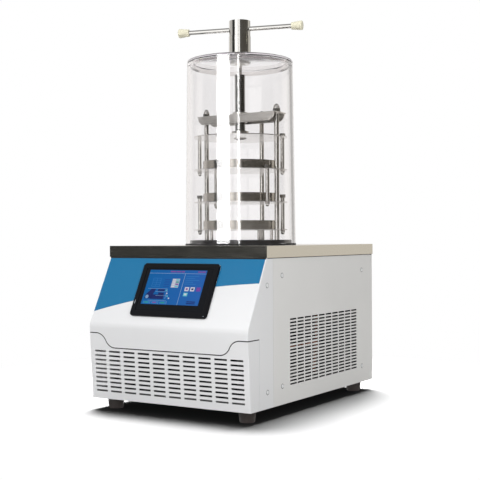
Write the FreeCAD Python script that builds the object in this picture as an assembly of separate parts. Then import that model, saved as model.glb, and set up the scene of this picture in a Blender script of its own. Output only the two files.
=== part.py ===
import FreeCAD, Part
import math
import os

# Bench-top freeze dryer with a clear bell jar and a hand-turned stoppering press.
# Millimetres. +X is the operator's right, the front faces -Y, +Z is up.
# The origin lies on the floor, under the middle of the whole object's box.

V = FreeCAD.Vector

# ---------------------------------------------------------------- driving sizes

# cabinet
BODY_WIDTH = 450.0
LID_DEPTH = 556.0
CABINET_HEIGHT = 363.0          # underside of the base pan to the top of the lid
LID_SHEET = 1.5
LID_SKIRT = 27.0
PANEL_SHEET = 1.5
COVER_WALL = 2.0
BASE_SHEET = 2.0
BASE_RIM = 22.0
PANEL_RETURN = 12.0             # inward flanges of the side panels
SHEET_GAP = 0.3                 # between sheets that slip into each other

# front cover and grille cover
COVER_SEAM = 29.2               # behind the front of the lid's skirt
SEAM_GAP = 0.6
KNEE_OUT = 80.0                 # how far the knee stands before the lid
KNEE_HEIGHT = 177.0
KNEE_RADIUS = 30.0
TOE_OUT = 69.0
COVER_EDGE_RADIUS = 2.5
SPLIT_HIGH = 156.5              # split line near the sides, above the base
SPLIT_LOW = 122.5               # split line across the middle
SPLIT_OUTER = 202.0             # half widths where the split line bends
SPLIT_INNER = 148.0
SPLIT_GAP = 1.2
GRILLE_WING = 32.0              # side wings end this far before the lid
GRILLE_COLUMNS = 10
GRILLE_ROWS = 10
GRILLE_PITCH_X = 42.75
GRILLE_PITCH_Z = 10.5
GRILLE_SLOT = 34.0
GRILLE_SLOT_HEIGHT = 4.2
GRILLE_FIRST_ROW = 19.2         # above the base

# side vent
VENT_COLUMNS = 10
VENT_ROWS = 20
VENT_PITCH_Y = 35.7
VENT_PITCH_Z = 7.9
VENT_SLOT = 30.0
VENT_SLOT_HEIGHT = 3.8
VENT_FRONT = 106.0              # first slot's front end, behind the lid's front
VENT_FIRST_ROW = 42.0           # above the base

# feet
FOOT_HEIGHT = 28.0
FOOT_RADIUS = 20.5
FOOT_INSET_X = 38.0
FOOT_INSET_Y = 44.0

# blue band and touch panel, measured down the slope of the front cover
BAND_FILM = 0.3
BAND_LEFT = 145.0
BAND_MIDDLE = 90.0
BAND_RIGHT = 62.5
BEZEL_WIDTH = 216.0
BEZEL_HEIGHT = 135.0
BEZEL_TOP = 18.0
BEZEL_PROUD = 6.0
BEZEL_RADIUS = 8.0
BEZEL_CHAMFER = 1.5
SCREEN_WIDTH = 190.0
SCREEN_HEIGHT = 109.0
SCREEN_PROUD = 5.0
FILM_GAP = 0.5

# rear fittings
PORT_OUT = 40.0                 # vacuum flange beyond the back of the lid
PORT_BORE_RADIUS = 12.0
PORT_TUBE_RADIUS = 14.0
PORT_FLANGE_RADIUS = 20.0
PORT_FLANGE_THICK = 3.0
PORT_BELOW_DECK = 70.0
INLET_INSET = 75.0              # inside the cabinet's left face
INLET_Z = 60.0                  # above the base
INLET_WIDTH = 48.0
INLET_HEIGHT = 30.0
INLET_RIM = 4.0
INLET_PROUD = 2.5
INLET_BODY_DEPTH = 24.0
INLET_RECESS = 17.0
SWITCH_BESIDE = 65.0            # from the inlet's middle
SWITCH_WIDTH = 30.0
SWITCH_HEIGHT = 22.0
SWITCH_BODY_DEPTH = 20.0
ROCKER_TILT = 8.0               # degrees, each way from the middle
ROCKER_RADIUS = 4.8             # round back, about the pivot
DRAIN_INSET = 105.0             # inside the cabinet's right face
DRAIN_Z = 45.0
DRAIN_RADIUS = 7.0
DRAIN_BORE_RADIUS = 4.0
DRAIN_OUT = 38.0
DRAIN_BODY = 18.0
DRAIN_BODY_OUT = 12.0           # the valve body's middle, behind the rear panel
DRAIN_BORE_DEPTH = 15.0
DRAIN_LEVER = 32.0
DRAIN_LEVER_WIDTH = 10.0
DRAIN_LEVER_THICK = 3.0
DRAIN_BOSS_RADIUS = 6.5         # on the lever, round its axis
DRAIN_BOSS_HEIGHT = 5.0

# cold trap
TRAP_INSET = 37.0               # from the shelves' rim to the mouth's
TRAP_DEPTH = 190.0
TRAP_WALL = 1.5
INSULATION_WALL = 22.0
INSULATION_GAP = 14.0

# refrigeration
COMPRESSOR_GAP = 24.7           # to the insulation before it and the rear panel behind it
COMPRESSOR_HEIGHT = 135.0
COMPRESSOR_X = -60.0
COMPRESSOR_PLATE = 4.0
COMPRESSOR_MOUNT = 10.0
CONDENSER_WIDTH = 300.0
CONDENSER_DEPTH = 42.0
CONDENSER_HEIGHT = 140.0
CONDENSER_AHEAD = 50.0          # its front, before the lid's front
FAN_RADIUS = 56.0
FAN_HUB_RADIUS = 18.0
FAN_WIDTH = 16.0
FAN_BLADES = 5
FAN_GAP = 10.0
FAN_BLADE_SHEET = 1.2
FAN_BLADE_PITCH = 32.0          # degrees
FAN_MOTOR_RADIUS = 27.0
FAN_MOTOR_DEPTH = 40.0
FAN_BRACKET_WIDTH = 34.0
FAN_BRACKET_SHEET = 3.0
PIPE_RADIUS = 5.0
PIPE_INSET = 33.0               # inside the cabinet's right face
PIPE_DROP_BEHIND = 219.0        # behind the lid's front, where the pipe stands upright
PIPE_LOW = 100.0                # above the base
CONTROL_WIDTH = 180.0
CONTROL_DEPTH = 60.0
CONTROL_HEIGHT = 80.0

# bell jar
JAR_BACK = 247.8                # jar's axis behind the lid's front
JAR_BASE_RADIUS = 140.0
JAR_TAPER = 5.5                 # the top's radius is this much smaller
JAR_HEIGHT = 465.0
JAR_WALL = 8.0
JAR_TOP_THICK = 6.0
JAR_RING_WIDTH = 7.0            # stiffening ring in the corner under the top
JAR_RING_DEPTH = 10.0
JAR_CHAMFER = 4.0
JAR_HOLE_RADIUS = 14.0
GASKET_FLANGE = 3.5
GASKET_OVERHANG = 1.0
GASKET_WIDTH = 20.0

# gland, handle and drive
GLAND_RADIUS = 28.0
GLAND_HEIGHT = 62.0
GLAND_NECK_GAP = 0.3
GLAND_NECK_OUT = 2.5            # the neck's end below its nut
GLAND_NUT_RADIUS = 24.8
GLAND_NUT_HEIGHT = 3.5
SHAFT_RADIUS = 5.75
SHAFT_FIT = 0.06                # radial running fit of the shaft
HUB_RADIUS = 27.3
HUB_HEIGHT = 39.0
HUB_GAP = 0.4
HUB_SHAFT_DEPTH = 10.0
BAR_RADIUS = 5.75
BAR_LENGTH = 310.0
BAR_HEIGHT = 18.5               # above the hub's lower face
BAR_ANGLE = 15.0                # degrees from +X
GRIP_RADIUS = 11.8
GRIP_LENGTH = 28.5
GRIP_BORE_DEPTH = 18.5
DRIVE_FLATS = 9.6               # across the flats of the shaft's hexagon
DRIVE_PLAY = 0.25
DRIVE_LENGTH = 66.0             # hexagon's length
DRIVE_REACH = 48.0              # into the screw's socket at rest

# stoppering press
SCREW_RADIUS = 14.0
SCREW_HEADROOM = 23.5           # under the gland's neck at rest; the press rises by 10
SCREW_SOCKET = 72.0
SCREW_FIT = 0.06
SCREW_END_GAP = 0.3
BOSS_RADIUS = 19.0              # threaded boss welded through the yoke
BOSS_ABOVE = 6.0
BOSS_BELOW = 16.0
YOKE_TOP = 331.0                # above the deck
YOKE_BEYOND = 10.5              # beyond the axes of the side columns
YOKE_WIDTH = 55.0
YOKE_SHEET = 3.0
YOKE_FLANGE = 22.0
YOKE_CORNER = 18.0
YOKE_LIP = 3.0                  # the top's ends beyond the flanges
TONGUE_WIDTH = 34.0
COLUMN_RADIUS = 6.0
COLUMN_INSET = 13.5             # side columns, from the shelves' rim
COLUMN_INSET_REAR = 11.0
THRUST_RADIUS = 21.5
THRUST_HEIGHT = 16.0

# shelves, trays and their hangers
RACK_GAP = 7.5                  # from the shelves' rim to the jar's narrowest wall
PLATE_SHEET = 2.0
NOTCH_GAP = 0.8                 # round the guide columns
SHELF_TOPS = (39.5, 108.5, 190.0)       # third, second and first shelf, above the deck
PRESS_PLATE_TOP = 273.0
TRAY_INSET = 24.0
TRAY_HEIGHT = 22.0
TRAY_WALL = 1.0
ROD_RADIUS = 4.9
ROD_INSET = 11.1
ROD_ANGLE = 20.6                # degrees either side of the X axis
ROD_HOLE_GAP = 0.4
ROD_HEAD_FLATS = 14.0
ROD_HEAD = 8.0
ROD_LIFT = 10.6                 # free height under the lowest rods' heads
ROD_NUT_FLATS = 11.0
ROD_NUT_HEIGHT = 6.5
LEG_RADIUS = 4.0
LEG_INSET = 29.0

# ---------------------------------------------------------------- derived places

TOTAL_DEPTH = KNEE_OUT + LID_DEPTH + PORT_OUT
LID_FRONT = KNEE_OUT - TOTAL_DEPTH / 2
LID_BACK = LID_FRONT + LID_DEPTH
BASE_Z = FOOT_HEIGHT
DECK_Z = BASE_Z + CABINET_HEIGHT
DECK_UNDER = DECK_Z - LID_SHEET
SHELL_HALF = BODY_WIDTH / 2 - LID_SHEET - SHEET_GAP
COVER_TOP_Y = LID_FRONT + LID_SHEET + SHEET_GAP
SEAM_Y = LID_FRONT + COVER_SEAM
SKIRT_Z = DECK_Z - LID_SKIRT
KNEE_Y = LID_FRONT - KNEE_OUT
KNEE_Z = BASE_Z + KNEE_HEIGHT
TOE_Y = LID_FRONT - TOE_OUT
REAR_OUTER = LID_BACK - LID_SHEET - SHEET_GAP
REAR_INNER = REAR_OUTER - PANEL_SHEET
FLOOR_Z = BASE_Z + BASE_SHEET
PORT_Z = DECK_Z - PORT_BELOW_DECK
PORT_END_Y = LID_BACK + PORT_OUT
FITTING_Z = BASE_Z + INLET_Z
ROCKER_Y = REAR_OUTER + INLET_PROUD - 1
DRAIN_AXIS_Z = BASE_Z + DRAIN_Z
INLET_X = INLET_INSET - BODY_WIDTH / 2
SWITCH_X = INLET_X + SWITCH_BESIDE
DRAIN_X = BODY_WIDTH / 2 - DRAIN_INSET
PIPE_RUN_X = BODY_WIDTH / 2 - PIPE_INSET

SLOPE_TURN = 90 - math.degrees(math.atan2(COVER_TOP_Y - KNEE_Y, SKIRT_Z - KNEE_Z))
SLOPE_PLACE = FreeCAD.Placement(V(0, COVER_TOP_Y, SKIRT_Z), FreeCAD.Rotation(V(1, 0, 0), SLOPE_TURN))

JAR_Y = LID_FRONT + JAR_BACK
JAR_Z = DECK_Z + GASKET_FLANGE
JAR_TOP_RADIUS = JAR_BASE_RADIUS - JAR_TAPER
JAR_TOP_Z = JAR_Z + JAR_HEIGHT
JAR_UNDER_Z = JAR_TOP_Z - JAR_TOP_THICK
NECK_Z = JAR_UNDER_Z - GLAND_NUT_HEIGHT - GLAND_NECK_OUT
GLAND_TOP_Z = JAR_TOP_Z + GLAND_HEIGHT
HUB_Z = GLAND_TOP_Z + HUB_GAP
BAR_Z = HUB_Z + BAR_HEIGHT

YOKE_Z = DECK_Z + YOKE_TOP
WEB_Z = YOKE_Z - YOKE_SHEET
PRESS_Z = DECK_Z + PRESS_PLATE_TOP
THRUST_Z = PRESS_Z + THRUST_HEIGHT
SCREW_Z = THRUST_Z + SCREW_END_GAP
SCREW_TOP_Z = NECK_Z - SCREW_HEADROOM
PLATE_RADIUS = JAR_TOP_RADIUS - JAR_WALL - RACK_GAP
COLUMN_X = PLATE_RADIUS - COLUMN_INSET
COLUMN_Y = JAR_Y + PLATE_RADIUS - COLUMN_INSET_REAR
YOKE_LENGTH = 2 * (COLUMN_X + YOKE_BEYOND)
ROD_X = (PLATE_RADIUS - ROD_INSET) * math.cos(math.radians(ROD_ANGLE))
ROD_Y = (PLATE_RADIUS - ROD_INSET) * math.sin(math.radians(ROD_ANGLE))
TRAY_RADIUS = PLATE_RADIUS - TRAY_INSET
LEG_CIRCLE = PLATE_RADIUS - LEG_INSET
COLUMNS = {"left": (-COLUMN_X, JAR_Y), "right": (COLUMN_X, JAR_Y), "rear": (0, COLUMN_Y)}
RISING = ((ROD_X, JAR_Y + ROD_Y), (-ROD_X, JAR_Y - ROD_Y))
FALLING = ((ROD_X, JAR_Y - ROD_Y), (-ROD_X, JAR_Y + ROD_Y))
SHELF_3_Z, SHELF_2_Z, SHELF_1_Z = (DECK_Z + top for top in SHELF_TOPS)

TRAP_RADIUS = PLATE_RADIUS - TRAP_INSET
INSULATION_HALF = TRAP_RADIUS + TRAP_WALL + INSULATION_GAP + INSULATION_WALL
INSULATION_DEPTH = TRAP_DEPTH + INSULATION_WALL
COMPRESSOR_Y = (JAR_Y + INSULATION_HALF + REAR_INNER) / 2
COMPRESSOR_RADIUS = REAR_INNER - COMPRESSOR_Y - COMPRESSOR_GAP - COMPRESSOR_MOUNT
COMPRESSOR_TOP_Z = FLOOR_Z + COMPRESSOR_MOUNT + COMPRESSOR_PLATE + COMPRESSOR_HEIGHT
CONDENSER_Y = LID_FRONT - CONDENSER_AHEAD
FAN_Y = CONDENSER_Y + CONDENSER_DEPTH + FAN_GAP
FAN_Z = FLOOR_Z + CONDENSER_HEIGHT / 2

os.makedirs("parts", exist_ok=True)


# ---------------------------------------------------------------- helpers


def save(name, shape):
    shape.exportStep(f"parts/{name}.step")


def box(x, y, z):
    """A box from three (low, high) pairs."""
    corner = V(x[0], y[0], z[0])
    return Part.makeBox(x[1] - x[0], y[1] - y[0], z[1] - z[0], corner)


def column(radius, z, x=0.0, y=0.0):
    """An upright cylinder between two heights."""
    return Part.makeCylinder(radius, z[1] - z[0], V(x, y, z[0]))


def bolt(radius, start, end):
    """A cylinder between two points."""
    return Part.makeCylinder(radius, (end - start).Length, start, end - start)


def turned(profile, x=0.0, y=0.0):
    """A solid of revolution about an upright axis, from (radius, height) points."""
    points = [V(x + radius, y, height) for radius, height in profile]
    face = Part.Face(Part.makePolygon(points + points[:1]))
    return face.revolve(V(x, y, 0), V(0, 0, 1), 360)


def corner_arc(before, corner, after, radius):
    """Start, middle and end of the arc that rounds a corner."""
    back = (before - corner).normalize()
    ahead = (after - corner).normalize()
    half = back.getAngle(ahead) / 2
    reach = radius / math.tan(half)
    middle = (back + ahead).normalize() * (radius / math.sin(half) - radius)
    return corner + back * reach, corner + middle, corner + ahead * reach


def rounded(points, radii):
    """A closed face with straight sides and rounded corners; a radius of 0 keeps a corner sharp."""
    count = len(points)
    stops = []
    for i, (corner, radius) in enumerate(zip(points, radii)):
        if radius > 0:
            stops.append(corner_arc(points[i - 1], corner, points[(i + 1) % count], radius))
        else:
            stops.append((corner, None, corner))
    edges = []
    for i, (start, middle, end) in enumerate(stops):
        if middle is not None:
            edges.append(Part.Arc(start, middle, end).toShape())
        follow = stops[(i + 1) % count][0]
        edges.append(Part.LineSegment(end, follow).toShape())
    return Part.Face(Part.Wire(edges))


def inset(points, distance):
    """An anticlockwise outline in a YZ plane, moved inwards."""
    count = len(points)
    moved = []
    for i, corner in enumerate(points):
        into = (corner - points[i - 1]).normalize()
        out = (points[(i + 1) % count] - corner).normalize()
        bisector = V(0, -into.z - out.z, into.y + out.y).normalize()
        half = into.getAngle(out) / 2
        moved.append(corner + bisector * (distance / math.cos(half)))
    return moved


def slots(columns, rows, place):
    """A field of slot cutters; place(column, row) gives each one."""
    return [place(i, k) for i in range(columns) for k in range(rows)]


def on_slope(shape):
    """Moves a shape from the plane of the front cover's slope, where -Y runs down the slope."""
    shape.Placement = SLOPE_PLACE.multiply(shape.Placement)
    return shape


def hexagon(flats, z, x, y):
    """An upright hexagonal prism."""
    reach = flats / math.sqrt(3)
    points = [V(x + reach * math.cos(math.radians(60 * i)), y + reach * math.sin(math.radians(60 * i)), z[0])
              for i in range(7)]
    return Part.Face(Part.makePolygon(points)).extrude(V(0, 0, z[1] - z[0]))


def mitred_tube(points, radius):
    """A round pipe along straight runs with mitred corners."""
    path = Part.makePolygon(points)
    start = Part.makeCircle(radius, points[0], points[1] - points[0])
    return path.makePipeShell([Part.Wire(start)], True, False, 1)


# ---------------------------------------------------------------- cabinet


def lid_plate():
    """Folded stainless pan, open below, with the round mouth of the cold trap."""
    half = BODY_WIDTH / 2
    outer = box((-half, half), (LID_FRONT, LID_BACK), (SKIRT_Z, DECK_Z))
    inside = half - LID_SHEET
    hollow = box((-inside, inside), (LID_FRONT + LID_SHEET, LID_BACK - LID_SHEET), (SKIRT_Z, DECK_UNDER))
    mouth = column(TRAP_RADIUS, (SKIRT_Z, DECK_Z), 0, JAR_Y)
    return outer.cut(hollow).cut(mouth)


def cover_outline(beyond=0.0):
    """Side outline of the front, run on behind the seam and below the base."""
    toe_drop = beyond * (KNEE_Y - TOE_Y) / KNEE_HEIGHT
    back = SEAM_Y - SEAM_GAP / 2 + beyond
    return [
        V(0, back, BASE_Z - beyond),
        V(0, back, DECK_UNDER),
        V(0, COVER_TOP_Y, DECK_UNDER),
        V(0, COVER_TOP_Y, SKIRT_Z),
        V(0, KNEE_Y, KNEE_Z),
        V(0, TOE_Y - toe_drop, BASE_Z - beyond),
    ]


def cover_shell():
    """Front and cheeks in one wall, open behind and below."""
    outer = rounded(cover_outline(), (0, 0, 0, 0, KNEE_RADIUS, 0))
    outer.translate(V(-SHELL_HALF, 0, 0))
    block = outer.extrude(V(2 * SHELL_HALF, 0, 0))
    fronts = [
        edge for edge in block.Edges
        if abs(abs(edge.CenterOfMass.x) - SHELL_HALF) < 0.01
        and edge.BoundBox.YMin < COVER_TOP_Y - 1
        and edge.BoundBox.ZLength > 1
    ]
    block = block.makeFillet(COVER_EDGE_RADIUS, fronts)
    inner_half = SHELL_HALF - COVER_WALL
    beyond = 10 * COVER_WALL
    inner = rounded(inset(cover_outline(beyond), COVER_WALL), (0, 0, 0, 0, KNEE_RADIUS - COVER_WALL, 0))
    inner.translate(V(-inner_half, 0, 0))
    return block.cut(inner.extrude(V(2 * inner_half, 0, 0)))


def split_curve(half_width, height, reach):
    """Edges of one end of the split line: level, an S bend, and level again."""
    side = math.copysign(1, half_width)
    rise = SPLIT_HIGH - SPLIT_LOW
    outer = V(side * SPLIT_OUTER, 0, height + rise)
    inner = V(side * SPLIT_INNER, 0, height)
    middle = (outer + inner) * 0.5
    run = SPLIT_OUTER - SPLIT_INNER
    radius = (run * run + rise * rise) / (4 * rise)
    angle = math.asin(run / 2 / radius) / 2
    drop = radius * (1 - math.cos(angle))
    shift = radius * math.sin(angle)
    high = V(side * (SPLIT_OUTER - shift), 0, outer.z - drop)
    low = V(side * (SPLIT_INNER + shift), 0, inner.z + drop)
    end = V(side * reach, 0, outer.z)
    return [
        Part.LineSegment(end, outer).toShape(),
        Part.Arc(outer, high, middle).toShape(),
        Part.Arc(middle, low, inner).toShape(),
    ], end, inner


def grille_zone(grow):
    """The space below the split line and before the wings' rear ends, grown by a gap."""
    reach = SHELL_HALF + COVER_WALL
    height = BASE_Z + SPLIT_LOW + grow
    left, left_end, left_inner = split_curve(-reach, height, reach)
    right, right_end, right_inner = split_curve(reach, height, reach)
    floor = BASE_Z - COVER_WALL
    rest = Part.makePolygon([right_end, V(reach, 0, floor), V(-reach, 0, floor), left_end])
    middle = Part.LineSegment(left_inner, right_inner).toShape()
    outline = Part.Face(Part.Wire(Part.__sortEdges__(left + [middle] + right + rest.Edges)))
    outline.translate(V(0, KNEE_Y - COVER_WALL, 0))
    return outline.extrude(V(0, LID_FRONT - GRILLE_WING + grow - KNEE_Y + COVER_WALL, 0))


def grille_slot(i, k):
    first = -((GRILLE_COLUMNS - 1) * GRILLE_PITCH_X + GRILLE_SLOT) / 2
    x = first + i * GRILLE_PITCH_X
    z = BASE_Z + GRILLE_FIRST_ROW + k * GRILLE_PITCH_Z
    half = GRILLE_SLOT_HEIGHT / 2
    return box((x, x + GRILLE_SLOT), (KNEE_Y - COVER_WALL, TOE_Y + 2 * COVER_WALL), (z - half, z + half))


def front_cover():
    return cover_shell().cut(grille_zone(SPLIT_GAP))


def grille_cover():
    """Lower front moulding with its slots and two side wings."""
    cover = cover_shell().common(grille_zone(0))
    return cover.cut(slots(GRILLE_COLUMNS, GRILLE_ROWS, grille_slot))


def side_panel(side):
    """A sheet with inward returns at the back and, over the base pan's rim, at the seam."""
    outer = side * SHELL_HALF
    inner = side * (SHELL_HALF - PANEL_SHEET)
    edge = side * (SHELL_HALF - PANEL_RETURN)
    front = SEAM_Y + SEAM_GAP / 2
    outline = [
        V(outer, front, 0), V(outer, REAR_INNER, 0), V(edge, REAR_INNER, 0),
        V(edge, REAR_INNER - PANEL_SHEET, 0), V(inner, REAR_INNER - PANEL_SHEET, 0),
        V(inner, front + PANEL_SHEET, 0), V(edge, front + PANEL_SHEET, 0), V(edge, front, 0),
    ]
    face = Part.Face(Part.makePolygon(outline + outline[:1]))
    face.translate(V(0, 0, BASE_Z))
    panel = face.extrude(V(0, 0, DECK_UNDER - BASE_Z))
    across = sorted((edge - side, inner))
    room = box(across, (front - 1, front + 2 * PANEL_SHEET), (BASE_Z - 1, BASE_Z + BASE_RIM + SHEET_GAP))
    return panel.cut(room)


def vent_slot(i, k):
    y = LID_FRONT + VENT_FRONT + i * VENT_PITCH_Y
    z = BASE_Z + VENT_FIRST_ROW + k * VENT_PITCH_Z
    half = VENT_SLOT_HEIGHT / 2
    return box((SHELL_HALF - PANEL_RETURN, SHELL_HALF + 1), (y, y + VENT_SLOT), (z - half, z + half))


def side_panel_right():
    return side_panel(1).cut(slots(VENT_COLUMNS, VENT_ROWS, vent_slot))


def rear_panel():
    """Flat sheet with the cut-outs of the rear fittings."""
    through = (REAR_INNER - 1, REAR_OUTER + 1)
    sheet = box((-SHELL_HALF, SHELL_HALF), (REAR_INNER, REAR_OUTER), (BASE_Z, DECK_UNDER))
    port = bolt(PORT_TUBE_RADIUS + SHEET_GAP, V(0, through[0], PORT_Z), V(0, through[1], PORT_Z))
    drain = bolt(
        DRAIN_RADIUS + SHEET_GAP, V(DRAIN_X, through[0], DRAIN_AXIS_Z), V(DRAIN_X, through[1], DRAIN_AXIS_Z)
    )
    cutters = [port, drain]
    for x, width, height in ((INLET_X, INLET_WIDTH, INLET_HEIGHT), (SWITCH_X, SWITCH_WIDTH, SWITCH_HEIGHT)):
        half = width / 2 - INLET_RIM + SHEET_GAP
        rise = height / 2 - INLET_RIM + SHEET_GAP
        cutters.append(box((x - half, x + half), through, (FITTING_Z - rise, FITTING_Z + rise)))
    return sheet.cut(cutters)


def base_pan():
    """Shallow steel tray inside the foot of the covers."""
    half = SHELL_HALF - COVER_WALL - SHEET_GAP
    front = TOE_Y + COVER_WALL + SHEET_GAP
    back = REAR_INNER - PANEL_SHEET - SHEET_GAP
    outer = box((-half, half), (front, back), (BASE_Z, BASE_Z + BASE_RIM))
    inner = half - BASE_SHEET
    hollow = box((-inner, inner), (front + BASE_SHEET, back - BASE_SHEET), (FLOOR_Z, BASE_Z + BASE_RIM))
    return outer.cut(hollow)


def rubber_feet():
    x = BODY_WIDTH / 2 - FOOT_INSET_X
    front = TOE_Y + FOOT_INSET_Y
    back = LID_BACK - FOOT_INSET_Y
    feet = [
        column(FOOT_RADIUS, (0, FOOT_HEIGHT), side * x, y)
        for side in (-1, 1) for y in (front, back)
    ]
    return Part.makeCompound(feet)


# ---------------------------------------------------------------- blue band and touch panel


def bezel_block(grow, low, high):
    """The touch panel's outline on the slope, grown by a gap, between two heights over it."""
    half = BEZEL_WIDTH / 2 + grow
    top = grow - BEZEL_TOP
    bottom = -BEZEL_TOP - BEZEL_HEIGHT - grow
    points = [V(-half, bottom, low), V(half, bottom, low), V(half, top, low), V(-half, top, low)]
    return rounded(points, (BEZEL_RADIUS + grow,) * 4).extrude(V(0, 0, high - low))


def screen_block(grow, low, high):
    middle = -BEZEL_TOP - BEZEL_HEIGHT / 2
    across = SCREEN_WIDTH / 2 + grow
    along = SCREEN_HEIGHT / 2 + grow
    return box((-across, across), (middle - along, middle + along), (low, high))


def blue_band_film():
    """Film on the slope, from the lid's skirt down to one long arc."""
    half = SHELL_HALF - COVER_EDGE_RADIUS
    top = -SHEET_GAP
    left = V(-half, -BAND_LEFT, 0)
    right = V(half, -BAND_RIGHT, 0)
    arc = Part.Arc(left, V(0, -BAND_MIDDLE, 0), right).toShape()
    rest = Part.makePolygon([right, V(half, top, 0), V(-half, top, 0), left])
    film = Part.Face(Part.Wire([arc] + rest.Edges)).extrude(V(0, 0, BAND_FILM))
    return on_slope(film.cut(bezel_block(FILM_GAP, -1, 1)))


def touch_bezel():
    frame = bezel_block(0, 0, BEZEL_PROUD)
    rim = [edge for edge in frame.Edges if edge.BoundBox.ZMin > BEZEL_PROUD - 0.01]
    frame = frame.makeChamfer(BEZEL_CHAMFER, rim)
    return on_slope(frame.cut(screen_block(0, -1, BEZEL_PROUD + 1)))


def touch_screen():
    return on_slope(screen_block(0, 0, SCREEN_PROUD))


# ---------------------------------------------------------------- rear fittings


def vacuum_port():
    """Tube from the trap's insulation to a flange behind the cabinet."""
    start = V(0, JAR_Y + INSULATION_HALF, PORT_Z)
    end = V(0, PORT_END_Y, PORT_Z)
    flange = bolt(PORT_FLANGE_RADIUS, V(0, PORT_END_Y - PORT_FLANGE_THICK, PORT_Z), end)
    tube = bolt(PORT_TUBE_RADIUS, start, end)
    return tube.fuse(flange).removeSplitter().cut(bolt(PORT_BORE_RADIUS, start, end))


def power_inlet():
    """Flanged inlet socket with a recess for the plug."""
    half = INLET_WIDTH / 2
    rise = INLET_HEIGHT / 2
    outer = REAR_OUTER + INLET_PROUD
    rim = box((INLET_X - half, INLET_X + half), (REAR_OUTER, outer), (FITTING_Z - rise, FITTING_Z + rise))
    half -= INLET_RIM
    rise -= INLET_RIM
    body_y = (outer - INLET_BODY_DEPTH, outer)
    body = box((INLET_X - half, INLET_X + half), body_y, (FITTING_Z - rise, FITTING_Z + rise))
    half -= INLET_RIM
    rise -= INLET_RIM
    recess_y = (outer - INLET_RECESS, outer)
    recess = box((INLET_X - half, INLET_X + half), recess_y, (FITTING_Z - rise, FITTING_Z + rise))
    return rim.fuse(body).removeSplitter().cut(recess)


def switch_housing():
    half = SWITCH_WIDTH / 2
    rise = SWITCH_HEIGHT / 2
    outer = REAR_OUTER + INLET_PROUD
    rim = box((SWITCH_X - half, SWITCH_X + half), (REAR_OUTER, outer), (FITTING_Z - rise, FITTING_Z + rise))
    half -= INLET_RIM
    rise -= INLET_RIM
    body_y = (outer - SWITCH_BODY_DEPTH, outer)
    body = box((SWITCH_X - half, SWITCH_X + half), body_y, (FITTING_Z - rise, FITTING_Z + rise))
    half -= 1
    rise -= 1
    well_y = (outer - SWITCH_BODY_DEPTH / 2, outer)
    well = box((SWITCH_X - half, SWITCH_X + half), well_y, (FITTING_Z - rise, FITTING_Z + rise))
    return rim.fuse(body).removeSplitter().cut(well)


def switch_rocker():
    """Rocker with two sloping faces and a round back about its pivot."""
    half = SWITCH_WIDTH / 2 - INLET_RIM - 1 - SHEET_GAP
    lean = ROCKER_RADIUS * math.tan(math.radians(ROCKER_TILT))
    top = V(0, ROCKER_Y, ROCKER_RADIUS)
    bottom = V(0, ROCKER_Y, -ROCKER_RADIUS)
    back = Part.Arc(bottom, V(0, ROCKER_Y - ROCKER_RADIUS, 0), top)
    proud = V(0, 2 + lean, 0)
    front = Part.makePolygon([top, top + proud, V(0, ROCKER_Y + 2, 0), bottom + proud, bottom])
    face = Part.Face(Part.Wire([back.toShape()] + front.Edges))
    face.translate(V(SWITCH_X - half, 0, FITTING_Z))
    return face.extrude(V(2 * half, 0, 0))


def drain_valve():
    """Shut valve: a spout through the rear panel, with a square body outside."""
    start = V(DRAIN_X, REAR_INNER - PANEL_RETURN, DRAIN_AXIS_Z)
    end = V(DRAIN_X, REAR_OUTER + DRAIN_OUT, DRAIN_AXIS_Z)
    stop = end - V(0, DRAIN_BORE_DEPTH, 0)
    half = DRAIN_BODY / 2
    y = REAR_OUTER + DRAIN_BODY_OUT
    z = DRAIN_AXIS_Z
    body = box((DRAIN_X - half, DRAIN_X + half), (y - half, y + half), (z - half, z + half))
    return bolt(DRAIN_RADIUS, start, end).fuse(body).cut(bolt(DRAIN_BORE_RADIUS, stop, end))


def drain_lever():
    """Flat lever with a round boss on the valve body, square to the spout."""
    y = REAR_OUTER + DRAIN_BODY_OUT
    z = DRAIN_AXIS_Z + DRAIN_BODY / 2 + SHEET_GAP
    half = DRAIN_LEVER_WIDTH / 2
    lever = box((DRAIN_X, DRAIN_X + DRAIN_LEVER), (y - half, y + half), (z, z + DRAIN_LEVER_THICK))
    return lever.fuse(column(DRAIN_BOSS_RADIUS, (z, z + DRAIN_BOSS_HEIGHT), DRAIN_X, y))


# ---------------------------------------------------------------- cold trap and refrigeration


def trap_well():
    outer = column(TRAP_RADIUS + TRAP_WALL, (DECK_UNDER - TRAP_DEPTH, DECK_UNDER), 0, JAR_Y)
    return outer.cut(column(TRAP_RADIUS, (DECK_UNDER - TRAP_DEPTH + TRAP_WALL, DECK_UNDER), 0, JAR_Y))


def trap_insulation():
    """Square tub of foam round the well; the evaporator's space lies between them."""
    outer = INSULATION_HALF
    inner = outer - INSULATION_WALL
    bottom = DECK_UNDER - INSULATION_DEPTH
    block = box((-outer, outer), (JAR_Y - outer, JAR_Y + outer), (bottom, DECK_UNDER))
    hollow = box((-inner, inner), (JAR_Y - inner, JAR_Y + inner), (bottom + INSULATION_WALL, DECK_UNDER))
    return block.cut(hollow)


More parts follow.
